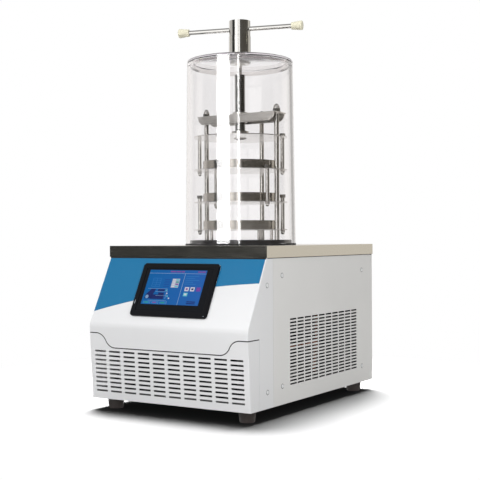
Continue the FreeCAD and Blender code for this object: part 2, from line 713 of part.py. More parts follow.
def compressor():
    """Hermetic can on a plate with four mounts."""
    y = COMPRESSOR_Y
    plate_z = FLOOR_Z + COMPRESSOR_MOUNT
    low = plate_z + COMPRESSOR_PLATE
    can = column(COMPRESSOR_RADIUS, (low, low + COMPRESSOR_HEIGHT), COMPRESSOR_X, y)
    half = COMPRESSOR_RADIUS + COMPRESSOR_MOUNT
    plate = box((COMPRESSOR_X - half, COMPRESSOR_X + half), (y - half, y + half), (plate_z, low))
    out = half - COMPRESSOR_MOUNT / 2
    into = half - COMPRESSOR_MOUNT * 3 / 2
    mounts = [
        box(sorted((COMPRESSOR_X + i * into, COMPRESSOR_X + i * out)), sorted((y + k * into, y + k * out)),
            (FLOOR_Z, plate_z))
        for i in (-1, 1) for k in (-1, 1)
    ]
    return can.fuse([plate] + mounts).removeSplitter()


def condenser():
    half = CONDENSER_WIDTH / 2
    back = CONDENSER_Y + CONDENSER_DEPTH
    return box((-half, half), (CONDENSER_Y, back), (FLOOR_Z, FLOOR_Z + CONDENSER_HEIGHT))


def fan_motor():
    """Motor on a bracket that stands on the base pan, with its shaft towards the condenser."""
    front = FAN_Y + FAN_WIDTH + SHEET_GAP
    half = FAN_BRACKET_WIDTH / 2
    motor = bolt(FAN_MOTOR_RADIUS, V(0, front, FAN_Z), V(0, front + FAN_MOTOR_DEPTH, FAN_Z))
    back = front + FAN_MOTOR_DEPTH
    post = box((-half, half), (back, back + FAN_BRACKET_SHEET), (FLOOR_Z, FAN_Z))
    toe = box((-half, half), (back, back + FAN_BRACKET_WIDTH), (FLOOR_Z, FLOOR_Z + FAN_BRACKET_SHEET))
    return motor.fuse([post, toe]).removeSplitter()


def fan_blades():
    """Hub with pitched blades."""
    hub = bolt(FAN_HUB_RADIUS, V(0, FAN_Y, FAN_Z), V(0, FAN_Y + FAN_WIDTH, FAN_Z))
    width = FAN_WIDTH * 0.9 / math.sin(math.radians(FAN_BLADE_PITCH))
    blades = []
    for i in range(FAN_BLADES):
        blade = Part.makeBox(width, FAN_BLADE_SHEET, FAN_RADIUS - FAN_HUB_RADIUS + 2,
                             V(-width / 2, -FAN_BLADE_SHEET / 2, FAN_HUB_RADIUS - 2))
        blade.rotate(V(0, 0, 0), V(0, 0, 1), FAN_BLADE_PITCH)
        blade.rotate(V(0, 0, 0), V(0, 1, 0), 360 / FAN_BLADES * i)
        blade.translate(V(0, FAN_Y + FAN_WIDTH / 2, FAN_Z))
        blades.append(blade)
    return hub.fuse(blades)


def discharge_line():
    """Copper pipe from the compressor's crown, along the right side, to the condenser."""
    high = COMPRESSOR_TOP_Z + 5 * PIPE_RADIUS
    low = BASE_Z + PIPE_LOW
    drop_y = LID_FRONT + PIPE_DROP_BEHIND
    end_y = CONDENSER_Y + CONDENSER_DEPTH / 2
    return mitred_tube([
        V(COMPRESSOR_X, COMPRESSOR_Y, COMPRESSOR_TOP_Z), V(COMPRESSOR_X, COMPRESSOR_Y, high),
        V(PIPE_RUN_X, COMPRESSOR_Y, high), V(PIPE_RUN_X, drop_y, high), V(PIPE_RUN_X, drop_y, low),
        V(PIPE_RUN_X, end_y, low), V(CONDENSER_WIDTH / 2, end_y, low),
    ], PIPE_RADIUS)


def suction_line():
    """Copper pipe from the trap's tub back to the compressor."""
    x = COMPRESSOR_X - COMPRESSOR_RADIUS / 3
    high = COMPRESSOR_TOP_Z + 10 * PIPE_RADIUS
    start = V(x, JAR_Y + INSULATION_HALF, high)
    return mitred_tube([start, V(x, COMPRESSOR_Y, high), V(x, COMPRESSOR_Y, COMPRESSOR_TOP_Z)], PIPE_RADIUS)


def control_box():
    """Electronics box under the lid, behind the touch panel."""
    half = CONTROL_WIDTH / 2
    front = SEAM_Y
    return box((-half, half), (front, front + CONTROL_DEPTH), (DECK_UNDER - CONTROL_HEIGHT, DECK_UNDER))


# ---------------------------------------------------------------- bell jar, gland and handle


def jar_gasket():
    """Flat black seal between the jar's rim and the deck."""
    outside = JAR_BASE_RADIUS + GASKET_OVERHANG
    seal = column(outside, (DECK_Z, JAR_Z), 0, JAR_Y)
    return seal.cut(column(outside - GASKET_WIDTH, (DECK_Z, JAR_Z), 0, JAR_Y))


def bell_jar():
    """Clear jar that narrows slightly to a flat top with a ring in its corner and a hole for the gland."""
    inside = JAR_TOP_RADIUS - JAR_WALL
    ring = inside - JAR_RING_WIDTH
    low = JAR_UNDER_Z - JAR_RING_DEPTH
    return turned([
        (JAR_BASE_RADIUS - JAR_WALL, JAR_Z), (JAR_BASE_RADIUS, JAR_Z),
        (JAR_TOP_RADIUS, JAR_TOP_Z - JAR_CHAMFER), (JAR_TOP_RADIUS - JAR_CHAMFER, JAR_TOP_Z),
        (JAR_HOLE_RADIUS, JAR_TOP_Z), (JAR_HOLE_RADIUS, JAR_UNDER_Z), (ring, JAR_UNDER_Z), (ring, low),
        (inside, low),
    ], 0, JAR_Y)


def gland_housing():
    """Polished housing on the jar, with a neck through its hole."""
    bore = SHAFT_RADIUS + SHAFT_FIT
    neck = JAR_HOLE_RADIUS - GLAND_NECK_GAP
    return turned([
        (bore, NECK_Z), (neck, NECK_Z), (neck, JAR_TOP_Z), (GLAND_RADIUS, JAR_TOP_Z),
        (GLAND_RADIUS, GLAND_TOP_Z), (bore, GLAND_TOP_Z),
    ], 0, JAR_Y)


def gland_nut():
    """Flat round nut on the neck, under the jar's top."""
    z = (JAR_UNDER_Z - GLAND_NUT_HEIGHT, JAR_UNDER_Z)
    return column(GLAND_NUT_RADIUS, z, 0, JAR_Y).cut(column(JAR_HOLE_RADIUS - GLAND_NECK_GAP, z, 0, JAR_Y))


def bar_points(reach):
    """Two points on the handle bar, a distance either side of its middle."""
    angle = math.radians(BAR_ANGLE)
    out = V(math.cos(angle), math.sin(angle), 0) * reach
    middle = V(0, JAR_Y, BAR_Z)
    return middle - out, middle + out


def handle_hub():
    """Turned hub with a cross bore for the bar and a blind bore for the shaft."""
    hub = column(HUB_RADIUS, (HUB_Z, HUB_Z + HUB_HEIGHT), 0, JAR_Y)
    hub = hub.cut(column(SHAFT_RADIUS, (HUB_Z, HUB_Z + HUB_SHAFT_DEPTH), 0, JAR_Y))
    return hub.cut(bolt(BAR_RADIUS, *bar_points(2 * HUB_RADIUS)))


def handle_bar():
    return bolt(BAR_RADIUS, *bar_points(BAR_LENGTH / 2))


def handle_grips():
    """Two plastic grips, each bored to take an end of the bar."""
    inner = BAR_LENGTH / 2 - GRIP_BORE_DEPTH
    grips = []
    for near, far in zip(bar_points(inner), bar_points(inner + GRIP_LENGTH)):
        grips.append(bolt(GRIP_RADIUS, near, far).cut(bolt(BAR_RADIUS, *bar_points(BAR_LENGTH / 2))))
    return Part.makeCompound(grips)


def drive_shaft():
    """Round shaft through the gland, with a hexagon that slides in the screw's socket."""
    low = SCREW_TOP_Z - DRIVE_REACH
    turn = low + DRIVE_LENGTH
    round_part = column(SHAFT_RADIUS, (turn, HUB_Z + HUB_SHAFT_DEPTH), 0, JAR_Y)
    return round_part.fuse(hexagon(DRIVE_FLATS, (low, turn), 0, JAR_Y))


# ---------------------------------------------------------------- stoppering press


def press_screw():
    """Plain stand-in for the threaded screw, with a hexagonal socket for the drive shaft."""
    screw = column(SCREW_RADIUS, (SCREW_Z, SCREW_TOP_Z), 0, JAR_Y)
    socket = (SCREW_TOP_Z - SCREW_SOCKET, SCREW_TOP_Z)
    return screw.cut(hexagon(DRIVE_FLATS + 2 * DRIVE_PLAY, socket, 0, JAR_Y))


def yoke():
    """Inverted channel across the jar, with a tongue to the rear column and a threaded boss for the screw."""
    half = YOKE_LENGTH / 2
    reach = half - YOKE_LIP
    side = YOKE_WIDTH / 2
    front = JAR_Y - side
    low = YOKE_Z - YOKE_FLANGE
    outline = [V(-reach, front, low), V(reach, front, low), V(reach, front, YOKE_Z), V(-reach, front, YOKE_Z)]
    channel = rounded(outline, (YOKE_CORNER, YOKE_CORNER, 0, 0)).extrude(V(0, YOKE_WIDTH, 0))
    inside = side - YOKE_SHEET
    channel = channel.cut(box((-half, half), (JAR_Y - inside, JAR_Y + inside), (low, WEB_Z)))
    web = box((-half, half), (JAR_Y - side, JAR_Y + side), (WEB_Z, YOKE_Z))
    tongue_end = COLUMN_Y + TONGUE_WIDTH / 2
    tongue = box((-TONGUE_WIDTH / 2, TONGUE_WIDTH / 2), (JAR_Y + inside, tongue_end), (WEB_Z, YOKE_Z))
    boss_z = (WEB_Z - BOSS_BELOW, YOKE_Z + BOSS_ABOVE)
    whole = channel.fuse([web, tongue, column(BOSS_RADIUS, boss_z, 0, JAR_Y)]).removeSplitter()
    return whole.cut(column(SCREW_RADIUS + SCREW_FIT, boss_z, 0, JAR_Y))


def guide_column(place):
    x, y = COLUMNS[place]
    return column(COLUMN_RADIUS, (DECK_Z, WEB_Z), x, y)


def press_foot():
    """Thrust disc between the screw's end and the press plate."""
    return column(THRUST_RADIUS, (PRESS_Z, THRUST_Z), 0, JAR_Y)


# ---------------------------------------------------------------- shelves and trays


def plate(top, passing=()):
    """Round plate with a notch for each guide column and a hole for each rod that passes through it."""
    z = (top - PLATE_SHEET, top)
    room = COLUMN_RADIUS + NOTCH_GAP
    across = (JAR_Y - room, JAR_Y + room)
    notches = [
        box((-PLATE_RADIUS, room - COLUMN_X), across, z),
        box((COLUMN_X - room, PLATE_RADIUS), across, z),
        box((-room, room), (COLUMN_Y - room, JAR_Y + PLATE_RADIUS), z),
    ]
    holes = [column(ROD_RADIUS + ROD_HOLE_GAP, z, x, y) for x, y in passing]
    return column(PLATE_RADIUS, z, 0, JAR_Y).cut(notches + holes)


def tray(shelf_z):
    cup = column(TRAY_RADIUS, (shelf_z, shelf_z + TRAY_HEIGHT), 0, JAR_Y)
    return cup.cut(column(TRAY_RADIUS - TRAY_WALL, (shelf_z + TRAY_WALL, shelf_z + TRAY_HEIGHT), 0, JAR_Y))


def hanger_rods(places, lower, head):
    """Two rods that stand on the lower plate, each with a hexagonal head over the upper one."""
    rods = []
    for x, y in places:
        shank = column(ROD_RADIUS, (lower, head), x, y)
        rods.append(shank.fuse(hexagon(ROD_HEAD_FLATS, (head, head + ROD_HEAD), x, y)))
    return Part.makeCompound(rods)


def rod_nuts(shelf_z, places):
    """Nuts under a shelf, one below each of its rods."""
    top = shelf_z - PLATE_SHEET
    return [hexagon(ROD_NUT_FLATS, (top - ROD_NUT_HEIGHT, top), x, y) for x, y in places]


def shelf_legs():
    low = SHELF_3_Z - PLATE_SHEET
    places = ((-LEG_CIRCLE, JAR_Y), (LEG_CIRCLE, JAR_Y), (0, JAR_Y + LEG_CIRCLE))
    return Part.makeCompound([column(LEG_RADIUS, (DECK_Z, low), x, y) for x, y in places])


# ---------------------------------------------------------------- all pieces

save("lid_plate", lid_plate())
save("front_cover", front_cover())
save("grille_cover", grille_cover())
save("side_panel_right", side_panel_right())
save("side_panel_left", side_panel(-1))
save("rear_panel", rear_panel())
save("base_pan", base_pan())
save("rubber_feet", rubber_feet())
save("blue_band_film", blue_band_film())
save("touch_bezel", touch_bezel())
save("touch_screen", touch_screen())

save("vacuum_port", vacuum_port())
save("power_inlet", power_inlet())
save("switch_housing", switch_housing())
save("switch_rocker", switch_rocker())
save("drain_valve", drain_valve())
save("drain_lever", drain_lever())

save("trap_well", trap_well())
save("trap_insulation", trap_insulation())
save("compressor", compressor())
save("condenser", condenser())
save("fan_motor", fan_motor())
save("fan_blades", fan_blades())
save("discharge_line", discharge_line())
save("suction_line", suction_line())
save("control_box", control_box())

save("jar_gasket", jar_gasket())
save("bell_jar", bell_jar())
save("gland_housing", gland_housing())
save("gland_nut", gland_nut())
save("handle_hub", handle_hub())
save("handle_bar", handle_bar())
save("handle_grips", handle_grips())
save("drive_shaft", drive_shaft())

save("press_screw", press_screw())
save("yoke", yoke())
for place in COLUMNS:
    save(f"guide_column_{place}", guide_column(place))
save("press_foot", press_foot())

save("press_plate", plate(PRESS_Z, RISING))
save("shelf_1", plate(SHELF_1_Z, FALLING))
save("shelf_2", plate(SHELF_2_Z, RISING))
save("shelf_3", plate(SHELF_3_Z))
for number, shelf_z in enumerate((SHELF_1_Z, SHELF_2_Z, SHELF_3_Z), 1):
    save(f"tray_{number}", tray(shelf_z))
save("hanger_rods_1", hanger_rods(RISING, SHELF_1_Z, PRESS_Z))
save("hanger_rods_2", hanger_rods(FALLING, SHELF_2_Z, SHELF_1_Z))
save("hanger_rods_3", hanger_rods(RISING, SHELF_3_Z, SHELF_2_Z + ROD_LIFT))
save("rod_nuts_hung", Part.makeCompound(rod_nuts(SHELF_1_Z, RISING) + rod_nuts(SHELF_2_Z, FALLING)))
save("rod_nuts_fixed", Part.makeCompound(rod_nuts(SHELF_3_Z, RISING)))
save("shelf_legs", shelf_legs())
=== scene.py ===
import math

import bmesh
import bpy
from mathutils import Matrix, Vector

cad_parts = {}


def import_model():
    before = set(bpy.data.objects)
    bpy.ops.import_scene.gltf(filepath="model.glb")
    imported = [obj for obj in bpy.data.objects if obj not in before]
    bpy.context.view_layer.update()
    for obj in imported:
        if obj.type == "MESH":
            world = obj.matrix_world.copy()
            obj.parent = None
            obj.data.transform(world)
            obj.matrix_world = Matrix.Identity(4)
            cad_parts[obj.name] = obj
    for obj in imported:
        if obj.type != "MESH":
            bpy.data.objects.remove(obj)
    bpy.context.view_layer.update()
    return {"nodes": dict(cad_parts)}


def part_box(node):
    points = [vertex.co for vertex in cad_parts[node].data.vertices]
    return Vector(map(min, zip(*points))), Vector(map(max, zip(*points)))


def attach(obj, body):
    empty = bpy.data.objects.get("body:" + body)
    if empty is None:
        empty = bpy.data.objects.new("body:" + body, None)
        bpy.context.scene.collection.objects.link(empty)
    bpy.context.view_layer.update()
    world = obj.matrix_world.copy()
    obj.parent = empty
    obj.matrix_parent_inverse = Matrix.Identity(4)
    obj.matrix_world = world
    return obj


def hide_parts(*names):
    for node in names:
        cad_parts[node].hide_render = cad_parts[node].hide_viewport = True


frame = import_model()

# Freeze dryer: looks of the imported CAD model. Metres, same frame as the CAD.
# -Y is the front with the touch panel, +X the vent side, +Z up.

NODES = frame["nodes"]
MM = 0.001


# ---------------------------------------------------------------- places read from the frame

LID_LOW, LID_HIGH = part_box("lid_plate")
JAR_LOW, JAR_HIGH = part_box("bell_jar")
AXIS_X = (JAR_LOW.x + JAR_HIGH.x) / 2
AXIS_Y = (JAR_LOW.y + JAR_HIGH.y) / 2
AXIS = (AXIS_X, AXIS_Y)
FRONT_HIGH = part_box("front_cover")[1]
SIDE_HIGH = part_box("side_panel_right")[1]

# Sizes of the CAD that its boxes don't tell.
# Front end of the painted-shadow strips along the lid's sides.
SIDE_SHADOW_FRONT = -253 * MM
FOOT_RADIUS = 20.5 * MM
JAR_TOP_RADIUS = 134.5 * MM
JAR_WALL = 8 * MM


# ---------------------------------------------------------------- small helpers


def srgb(red, green, blue):
    """A colour written as screen values from 0 to 255, in the linear values that shaders use."""
    def linear(value):
        value /= 255
        return value / 12.92 if value <= 0.04045 else ((value + 0.055) / 1.055) ** 2.4
    return linear(red), linear(green), linear(blue), 1.0


def tinted(colour, factor):
    """A colour made darker or lighter, up to white."""
    return [min(1, channel * factor) for channel in colour[:3]] + [1]


def link(obj):
    bpy.context.scene.collection.objects.link(obj)
    return obj


def piece(name, mesh_parts, body, material, smooth=35):
    """A new object from a bmesh, riding on a CAD body; edges over some degrees stay sharp."""
    mesh = bpy.data.meshes.new(name)
    mesh_parts.to_mesh(mesh)
    mesh_parts.free()
    obj = link(bpy.data.objects.new(name, mesh))
    mesh.materials.append(material)
    mesh.polygons.foreach_set("use_smooth", [True] * len(mesh.polygons))
    mesh.set_sharp_from_angle(angle=math.radians(smooth))
    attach(obj, body)
    return obj


def merge(bm, addition):
    """Adds one bmesh to another and frees it."""
    mesh = bpy.data.meshes.new("addition")
    addition.to_mesh(mesh)
    addition.free()
    bm.from_mesh(mesh)
    bpy.data.meshes.remove(mesh)


def sheathe(bm, rows):
    """Four-sided faces between each closed row of vertices and the next."""
    for low, high in zip(rows, rows[1:]):
        for i in range(len(low)):
            j = (i + 1) % len(low)
            bm.faces.new((low[i], low[j], high[j], high[i]))


def rings(profile, sides, centre=(0, 0), bm=None):
    """A surface of revolution about an upright axis from (radius, height) points; radius 0 closes it."""
    bm = bm or bmesh.new()
    rows = []
    for radius, height in profile:
        if radius < 1e-7:
            rows.append([bm.verts.new((centre[0], centre[1], height))])
            continue
        row = []
        for i in range(sides):
            angle = 2 * math.pi * i / sides
            x = centre[0] + radius * math.cos(angle)
            y = centre[1] + radius * math.sin(angle)
            row.append(bm.verts.new((x, y, height)))
        rows.append(row)
    for low, high in zip(rows, rows[1:]):
        for i in range(sides):
            j = (i + 1) % sides
            if len(low) == 1 and len(high) > 1:
                bm.faces.new((low[0], high[j], high[i]))
            elif len(high) == 1 and len(low) > 1:
                bm.faces.new((low[i], low[j], high[0]))
            elif len(low) > 1:
                bm.faces.new((low[i], low[j], high[j], high[i]))
    return bm


def arc(centre, radius, start, end, count):
    """(radius, height) points along an arc in a profile; angles in degrees from the outward direction."""
    points = []
    for i in range(count + 1):
        angle = math.radians(start + (end - start) * i / count)
        points.append((centre[0] + radius * math.cos(angle), centre[1] + radius * math.sin(angle)))
    return points


# ---------------------------------------------------------------- materials


class Nodes:
    """Shader nodes of a material or a world, with short calls for what is needed here."""

    def __init__(self, owner):
        owner.use_nodes = True
        self.tree = owner.node_tree
        self.tree.nodes.clear()

    def new(self, kind, *fed, **settings):
        """A node with its settings, and with plain values or outputs fed to its first sockets."""
        node = self.tree.nodes.new("ShaderNode" + kind)
        for key, value in settings.items():
            setattr(node, key, value)
        for socket, value in zip(node.inputs, fed):
            self.feed(socket, value)
        return node

    def feed(self, socket, value):
        """Links an output to a socket, or sets the socket to a plain value."""
        if isinstance(value, bpy.types.NodeSocket):
            self.tree.links.new(value, socket)
        else:
            socket.default_value = value

    def maths(self, operation, *fed):
        return self.new("Math", *fed, operation=operation).outputs[0]

    def vector(self, operation, *fed):
        node = self.new("VectorMath", *fed, operation=operation)
        return node.outputs["Value" if operation in ("LENGTH", "DOT_PRODUCT") else "Vector"]

    def ray_is(self, kind):
        return self.new("LightPath").outputs[kind]

    def either(self, factor, first, second):
        """The first shader where the factor is 0, the second where it is 1."""
        return self.new("MixShader", factor, first.outputs[0], second.outputs[0])


class Shader(Nodes):
    """A principled material, with calls that vary its colour, roughness and surface."""

    def __init__(self, name, colour, roughness, metallic=0.0, **sockets):
        self.material = bpy.data.materials.new(name)
        super().__init__(self.material)
        self.colour, self.roughness = colour, roughness
        self.bsdf = self.new("BsdfPrincipled")
        self.output = self.new("OutputMaterial", self.bsdf.outputs[0])
        sockets.update(Base_Color=colour, Roughness=roughness, Metallic=metallic)
        for socket, value in sockets.items():
            self.give(socket, value)
        self.coordinates = self.new("TexCoord").outputs["Object"]

    def give(self, socket, value):
        """Feeds a socket of the principled shader, named with _ for each space."""
        self.feed(self.bsdf.inputs[socket.replace("_", " ")], value)

    def noise(self, scale, stretch=(1, 1, 1), detail=3.0, rough=0.5):
        place = self.new("Mapping", self.coordinates)
        place.inputs["Scale"].default_value = stretch
        noise = self.new("TexNoise", place.outputs[0])
        for name, value in (("Scale", scale), ("Detail", detail), ("Roughness", rough)):
            noise.inputs[name].default_value = value
        return noise.outputs["Fac"]

    def ramp(self, value, start, end, low=0.0, high=1.0):
        """A value's place from start to end, as a number from low to high."""
        return self.new("MapRange", value, start, end, low, high).outputs[0]

    def spread(self, noise, low=0.0, high=1.0):
        """The same for a noise, which mostly lies between 0.3 and 0.7."""
        return self.ramp(noise, 0.3, 0.7, low, high)

    def blend(self, factor, first, second):
        """A mix of two colours."""
        mix = self.new("Mix", factor, data_type="RGBA")
        self.feed(mix.inputs[6], first)
        self.feed(mix.inputs[7], second)
        return mix.outputs[2]

    def vary_roughness(self, noise, amount):
        self.give("Roughness", self.spread(noise, self.roughness - amount, self.roughness + amount))

    def vary_colour(self, noise, amount):
        """Darkens and lightens the base colour by a share."""
        darker, lighter = (tinted(self.colour, 1 + change) for change in (-amount, amount))
        shade = self.blend(self.spread(noise), darker, lighter)
        self.give("Base_Color", shade)
        return shade

    def bump(self, height, distance):
        node = self.new("Bump")
        node.inputs["Distance"].default_value = distance
        self.feed(node.inputs["Height"], height)
        self.give("Normal", node.outputs[0])


def paint(name, colour, roughness=0.38, gloss=0.5, mask=None, painted_shade_colour=None):
    """Powder coat with a fine orange-peel surface, and a dark painted-shade colour where a mask says so."""
    shader = Shader(name, colour, roughness, Specular_IOR_Level=gloss)
    shader.vary_roughness(shader.noise(14), 0.04)
    shade = shader.vary_colour(shader.noise(5), 0.012)
    shader.bump(shader.noise(900, detail=2), 0.000006)
    # Where the mask says so, the colour is painted shade.
    if mask:
        shader.give("Base_Color", shader.blend(mask(shader), shade, painted_shade_colour))
    return shader.material


# How much of a face's direction lies along the panel's outward side, or along Z, at the limits of the
# painted-shade masks.
INWARD, CUT_EDGE, LEVEL = -0.7, 0.5, 0.8


def true_normal(shader):
    return shader.new("NewGeometry").outputs["True Normal"]


def level_edge_painted_shade(shader):
    """Mask of the level cut edges, at the covers' seam and in the slots, which painted shade darkens."""
    axes = shader.new("SeparateXYZ", true_normal(shader))
    return shader.maths("GREATER_THAN", shader.maths("ABSOLUTE", axes.outputs[2]), LEVEL)


def inside_painted_shade(outward, slots=None):
    """Mask of a panel's faces that look into the cabinet, and of cut edges inside a box round its slots, all
    darkened as painted shade.
    """
    def mask(shader):
        facing = shader.vector("DOT_PRODUCT", true_normal(shader), outward)
        inward = shader.maths("LESS_THAN", facing, INWARD)
        if not slots:
            return inward
        low, high = slots
        from_middle = shader.vector("SUBTRACT", shader.coordinates, (low + high) / 2)
        share = shader.vector("ABSOLUTE", shader.vector("DIVIDE", from_middle, (high - low) / 2))
        axes = shader.new("SeparateXYZ", share).outputs
        within = shader.maths("LESS_THAN", shader.maths("MAXIMUM", axes[1], axes[2]), 1.0)
        cut = shader.maths("MULTIPLY", within, shader.maths("LESS_THAN", facing, CUT_EDGE))
        return shader.maths("MAXIMUM", inward, cut)
    return mask


def brushed(name, colour, roughness, stretch, grain=0.05):
    """Stainless sheet with fine lines along one direction."""
    shader = Shader(name, colour, roughness, metallic=1.0)
    lines = shader.noise(800, stretch, detail=4, rough=0.7)
    shader.vary_roughness(lines, roughness * 0.35)
    shader.vary_colour(lines, grain)
    shader.bump(lines, 0.000004)
    return shader.material


def polished(name, colour, roughness):
    """Turned and polished steel with faint rings and soft smears."""
    shader = Shader(name, colour, roughness, metallic=1.0)
    turning = shader.noise(500, (0.05, 0.05, 1), detail=2)
    shader.vary_roughness(shader.noise(30, detail=4), roughness * 0.4)
    shader.vary_colour(turning, 0.03)
    shader.bump(turning, 0.000002)
    return shader.material


def thread_painted_shade(name, colour, roughness, crest, root):
    """Cut thread: bright on its crests, with painted shade darkening the roots between them."""
    shader = Shader(name, colour, roughness, metallic=1.0)
    shader.vary_roughness(shader.noise(300, detail=4), 0.08)
    across = shader.vector("MULTIPLY", shader.vector("SUBTRACT", shader.coordinates, (*AXIS, 0)), (1, 1, 0))
    share = shader.ramp(shader.vector("LENGTH", across), root, crest)
    # Painted shade: darker towards the thread's roots, bright at its crests.
    shader.give("Base_Color", shader.blend(share, srgb(52, 49, 46), colour))
    return shader.material


def plastic(name, colour, roughness, grain=0.000003, gloss=0.5):
    shader = Shader(name, colour, roughness, Specular_IOR_Level=gloss)
    shader.vary_roughness(shader.noise(40), 0.05)
    shader.vary_colour(shader.noise(9), 0.04)
    shader.bump(shader.noise(1500, detail=2), grain)
    return shader.material


def rubber(name, colour):
    shader = Shader(name, colour, 0.65)
    shader.vary_roughness(shader.noise(60, detail=4), 0.12)
    shader.vary_colour(shader.noise(25, detail=5), 0.15)
    shader.bump(shader.noise(700, detail=3), 0.00001)
    return shader.material


def glowing(name, colour, share):
    """A part of the display, which glows a little under its cover glass."""
    dim = [channel * (1 - share) for channel in colour[:3]] + [1]
    return Shader(name, dim, 0.16, Specular_IOR_Level=0.1, Emission_Strength=share)


def lit_pixels(name, colour, share=0.72):
    shader = glowing(name, colour, share)
    picture = shader.blend(shader.spread(shader.noise(60)), tinted(colour, 0.93), tinted(colour, 1.07))
    shader.give("Emission_Color", picture)
    return shader.material


def picture_field(name, left, right, share=0.72):
    """The display's ground, which changes from one blue to another across it."""
    shader = glowing(name, left, share)
    across = shader.new("SeparateXYZ", shader.coordinates).outputs[0]
    shader.give("Emission_Color", shader.blend(shader.ramp(across, -0.08, 0.08), left, right))
    return shader.material


def clear(name):
    """Clear acrylic that lets light through to what stands behind it."""
    shader = Shader(name, srgb(252, 251, 251), 0.015, Transmission_Weight=1.0, IOR=1.49)
    shader.vary_roughness(shader.noise(12), 0.008)
    through = shader.new("BsdfTransparent", (0.93, 0.92, 0.93, 1))
    surface = shader.either(shader.ray_is("Is Shadow Ray"), shader.bsdf, through)
    inside = shader.new("VolumeAbsorption", (0.78, 0.74, 0.78, 1), 5.0)
    shader.feed(shader.output.inputs["Surface"], surface.outputs[0])
    shader.feed(shader.output.inputs["Volume"], inside.outputs[0])
    return shader.material


def acrylic_painted_shade(name):
    """Grey, slightly hazy acrylic for the ring under the jar's top: painted shade along its thick top."""
    shader = Shader(name, srgb(200, 194, 191), 0.12, Transmission_Weight=0.95, IOR=1.49)
    shader.vary_roughness(shader.noise(20, detail=2), 0.04)
    shader.vary_colour(shader.noise(12, detail=2), 0.03)
    return shader.material


SIDE_WHITE = srgb(224, 223, 221)
# Painted shade for the panels' inner faces and for the side vent's cut edges.
INNER_PAINTED_SHADE = srgb(26, 26, 28)
# A box that holds the side panel's slots and nothing else that is cut.
VENT = (Vector((0, LID_LOW.y + 104 * MM, 64 * MM)),
        Vector((SIDE_HIGH.x * 2, LID_LOW.y + 460 * MM, 229 * MM)))

WHITE = paint("white_powder_coat", srgb(226, 226, 227))
# Front and grille covers: near-black painted shade on the level cut edges of their seam and slots.
WHITE_FRONT = paint("white_coat_front", srgb(226, 226, 227), mask=level_edge_painted_shade, painted_shade_colour=srgb(20, 20, 22))
# Side and rear panels: painted shade on their inner faces, and on the cut edges of the right panel's slots.
WHITE_RIGHT = paint("white_coat_right", SIDE_WHITE, mask=inside_painted_shade((1, 0, 0), VENT), painted_shade_colour=INNER_PAINTED_SHADE)
WHITE_LEFT = paint("white_coat_left", SIDE_WHITE, mask=inside_painted_shade((-1, 0, 0)), painted_shade_colour=INNER_PAINTED_SHADE)
WHITE_REAR = paint("white_coat_rear", SIDE_WHITE, mask=inside_painted_shade((0, 1, 0)), painted_shade_colour=INNER_PAINTED_SHADE)
GALVANISED = brushed("galvanised_sheet", srgb(110, 110, 109), 0.5, (1, 0.1, 1), 0.1)
LID_STEEL = brushed("brushed_lid_steel", srgb(214, 209, 199), 0.18, (0.02, 0.02, 1), 0.03)
YOKE_STEEL = brushed("brushed_yoke_steel", srgb(206, 203, 198), 0.36, (0.03, 1, 1), 0.12)
RACK_STEEL = brushed("satin_rack_steel", srgb(226, 223, 220), 0.2, (0.05, 1, 1))
SCREW_STEEL = thread_painted_shade("threaded_steel", srgb(178, 174, 169), 0.2, 13.6 * MM, 12.2 * MM)
TRAY_STEEL = brushed("tray_steel", srgb(186, 182, 175), 0.13, (0.04, 0.04, 1))
BRIGHT_STEEL = polished("bright_steel", srgb(212, 210, 206), 0.12)
RUBBER = rubber("black_rubber", srgb(32, 31, 31))
FOOT_RUBBER = rubber("foot_rubber", srgb(58, 52, 50))
BLUE = paint("blue_film", srgb(14, 108, 154), 0.45, 0.3)
BEZEL = plastic("bezel_black", srgb(15, 16, 19), 0.35, gloss=0.1)
GLASS_BLACK = plastic("display_edge", srgb(14, 16, 20), 0.2, gloss=0.1)
BLACK = plastic("black_plastic", srgb(22, 22, 24), 0.45)
CREAM = plastic("cream_plastic", srgb(236, 231, 206), 0.35)
JAR = clear("clear_acrylic")
JAR_TOP_PAINTED_SHADE = acrylic_painted_shade("acrylic_with_painted_shade")
COPPER = polished("copper_pipe", srgb(190, 110, 70), 0.28)
FOAM = plastic("foam", srgb(34, 34, 36), 0.9, 0.00005)
ENAMEL = paint("compressor_enamel", srgb(24, 24, 26), 0.3)
# Near-black condenser fins: painted shade that keeps the cabinet's inside dark behind the vents.
FINS_PAINTED_SHADE = paint("condenser_fins_painted_shade", srgb(28, 28, 30), 0.6)

LOOKS = (
    (WHITE_FRONT, "front_cover grille_cover"),
    (WHITE_RIGHT, "side_panel_right"),
    (WHITE_LEFT, "side_panel_left"),
    (WHITE_REAR, "rear_panel"),
    (LID_STEEL, "lid_plate"),
    (GALVANISED, "base_pan control_box"),
    (FOOT_RUBBER, "rubber_feet"),
    (RUBBER, "jar_gasket"),
    (BLUE, "blue_band_film"),
    (BEZEL, "touch_bezel"),
    (GLASS_BLACK, "touch_screen"),
    (BLACK, "power_inlet switch_housing switch_rocker drain_lever fan_motor fan_blades"),
    (BRIGHT_STEEL, "vacuum_port drain_valve gland_housing gland_nut handle_hub handle_bar drive_shaft"),
    (BRIGHT_STEEL, "guide_column_left guide_column_right guide_column_rear press_foot"),
    (BRIGHT_STEEL, "hanger_rods_1 hanger_rods_2 hanger_rods_3 rod_nuts_hung rod_nuts_fixed"),
    (RACK_STEEL, "press_plate shelf_1 shelf_2 shelf_3 shelf_legs"),
    (TRAY_STEEL, "trap_well tray_1 tray_2 tray_3"),
    (YOKE_STEEL, "yoke"),
    (SCREW_STEEL, "press_screw"),
    (CREAM, "handle_grips"),
    (JAR, "bell_jar"),
    (FOAM, "trap_insulation"),
    (ENAMEL, "compressor"),
    (FINS_PAINTED_SHADE, "condenser"),
    (COPPER, "discharge_line suction_line"),
)


SHARP_FROM = math.radians(28)


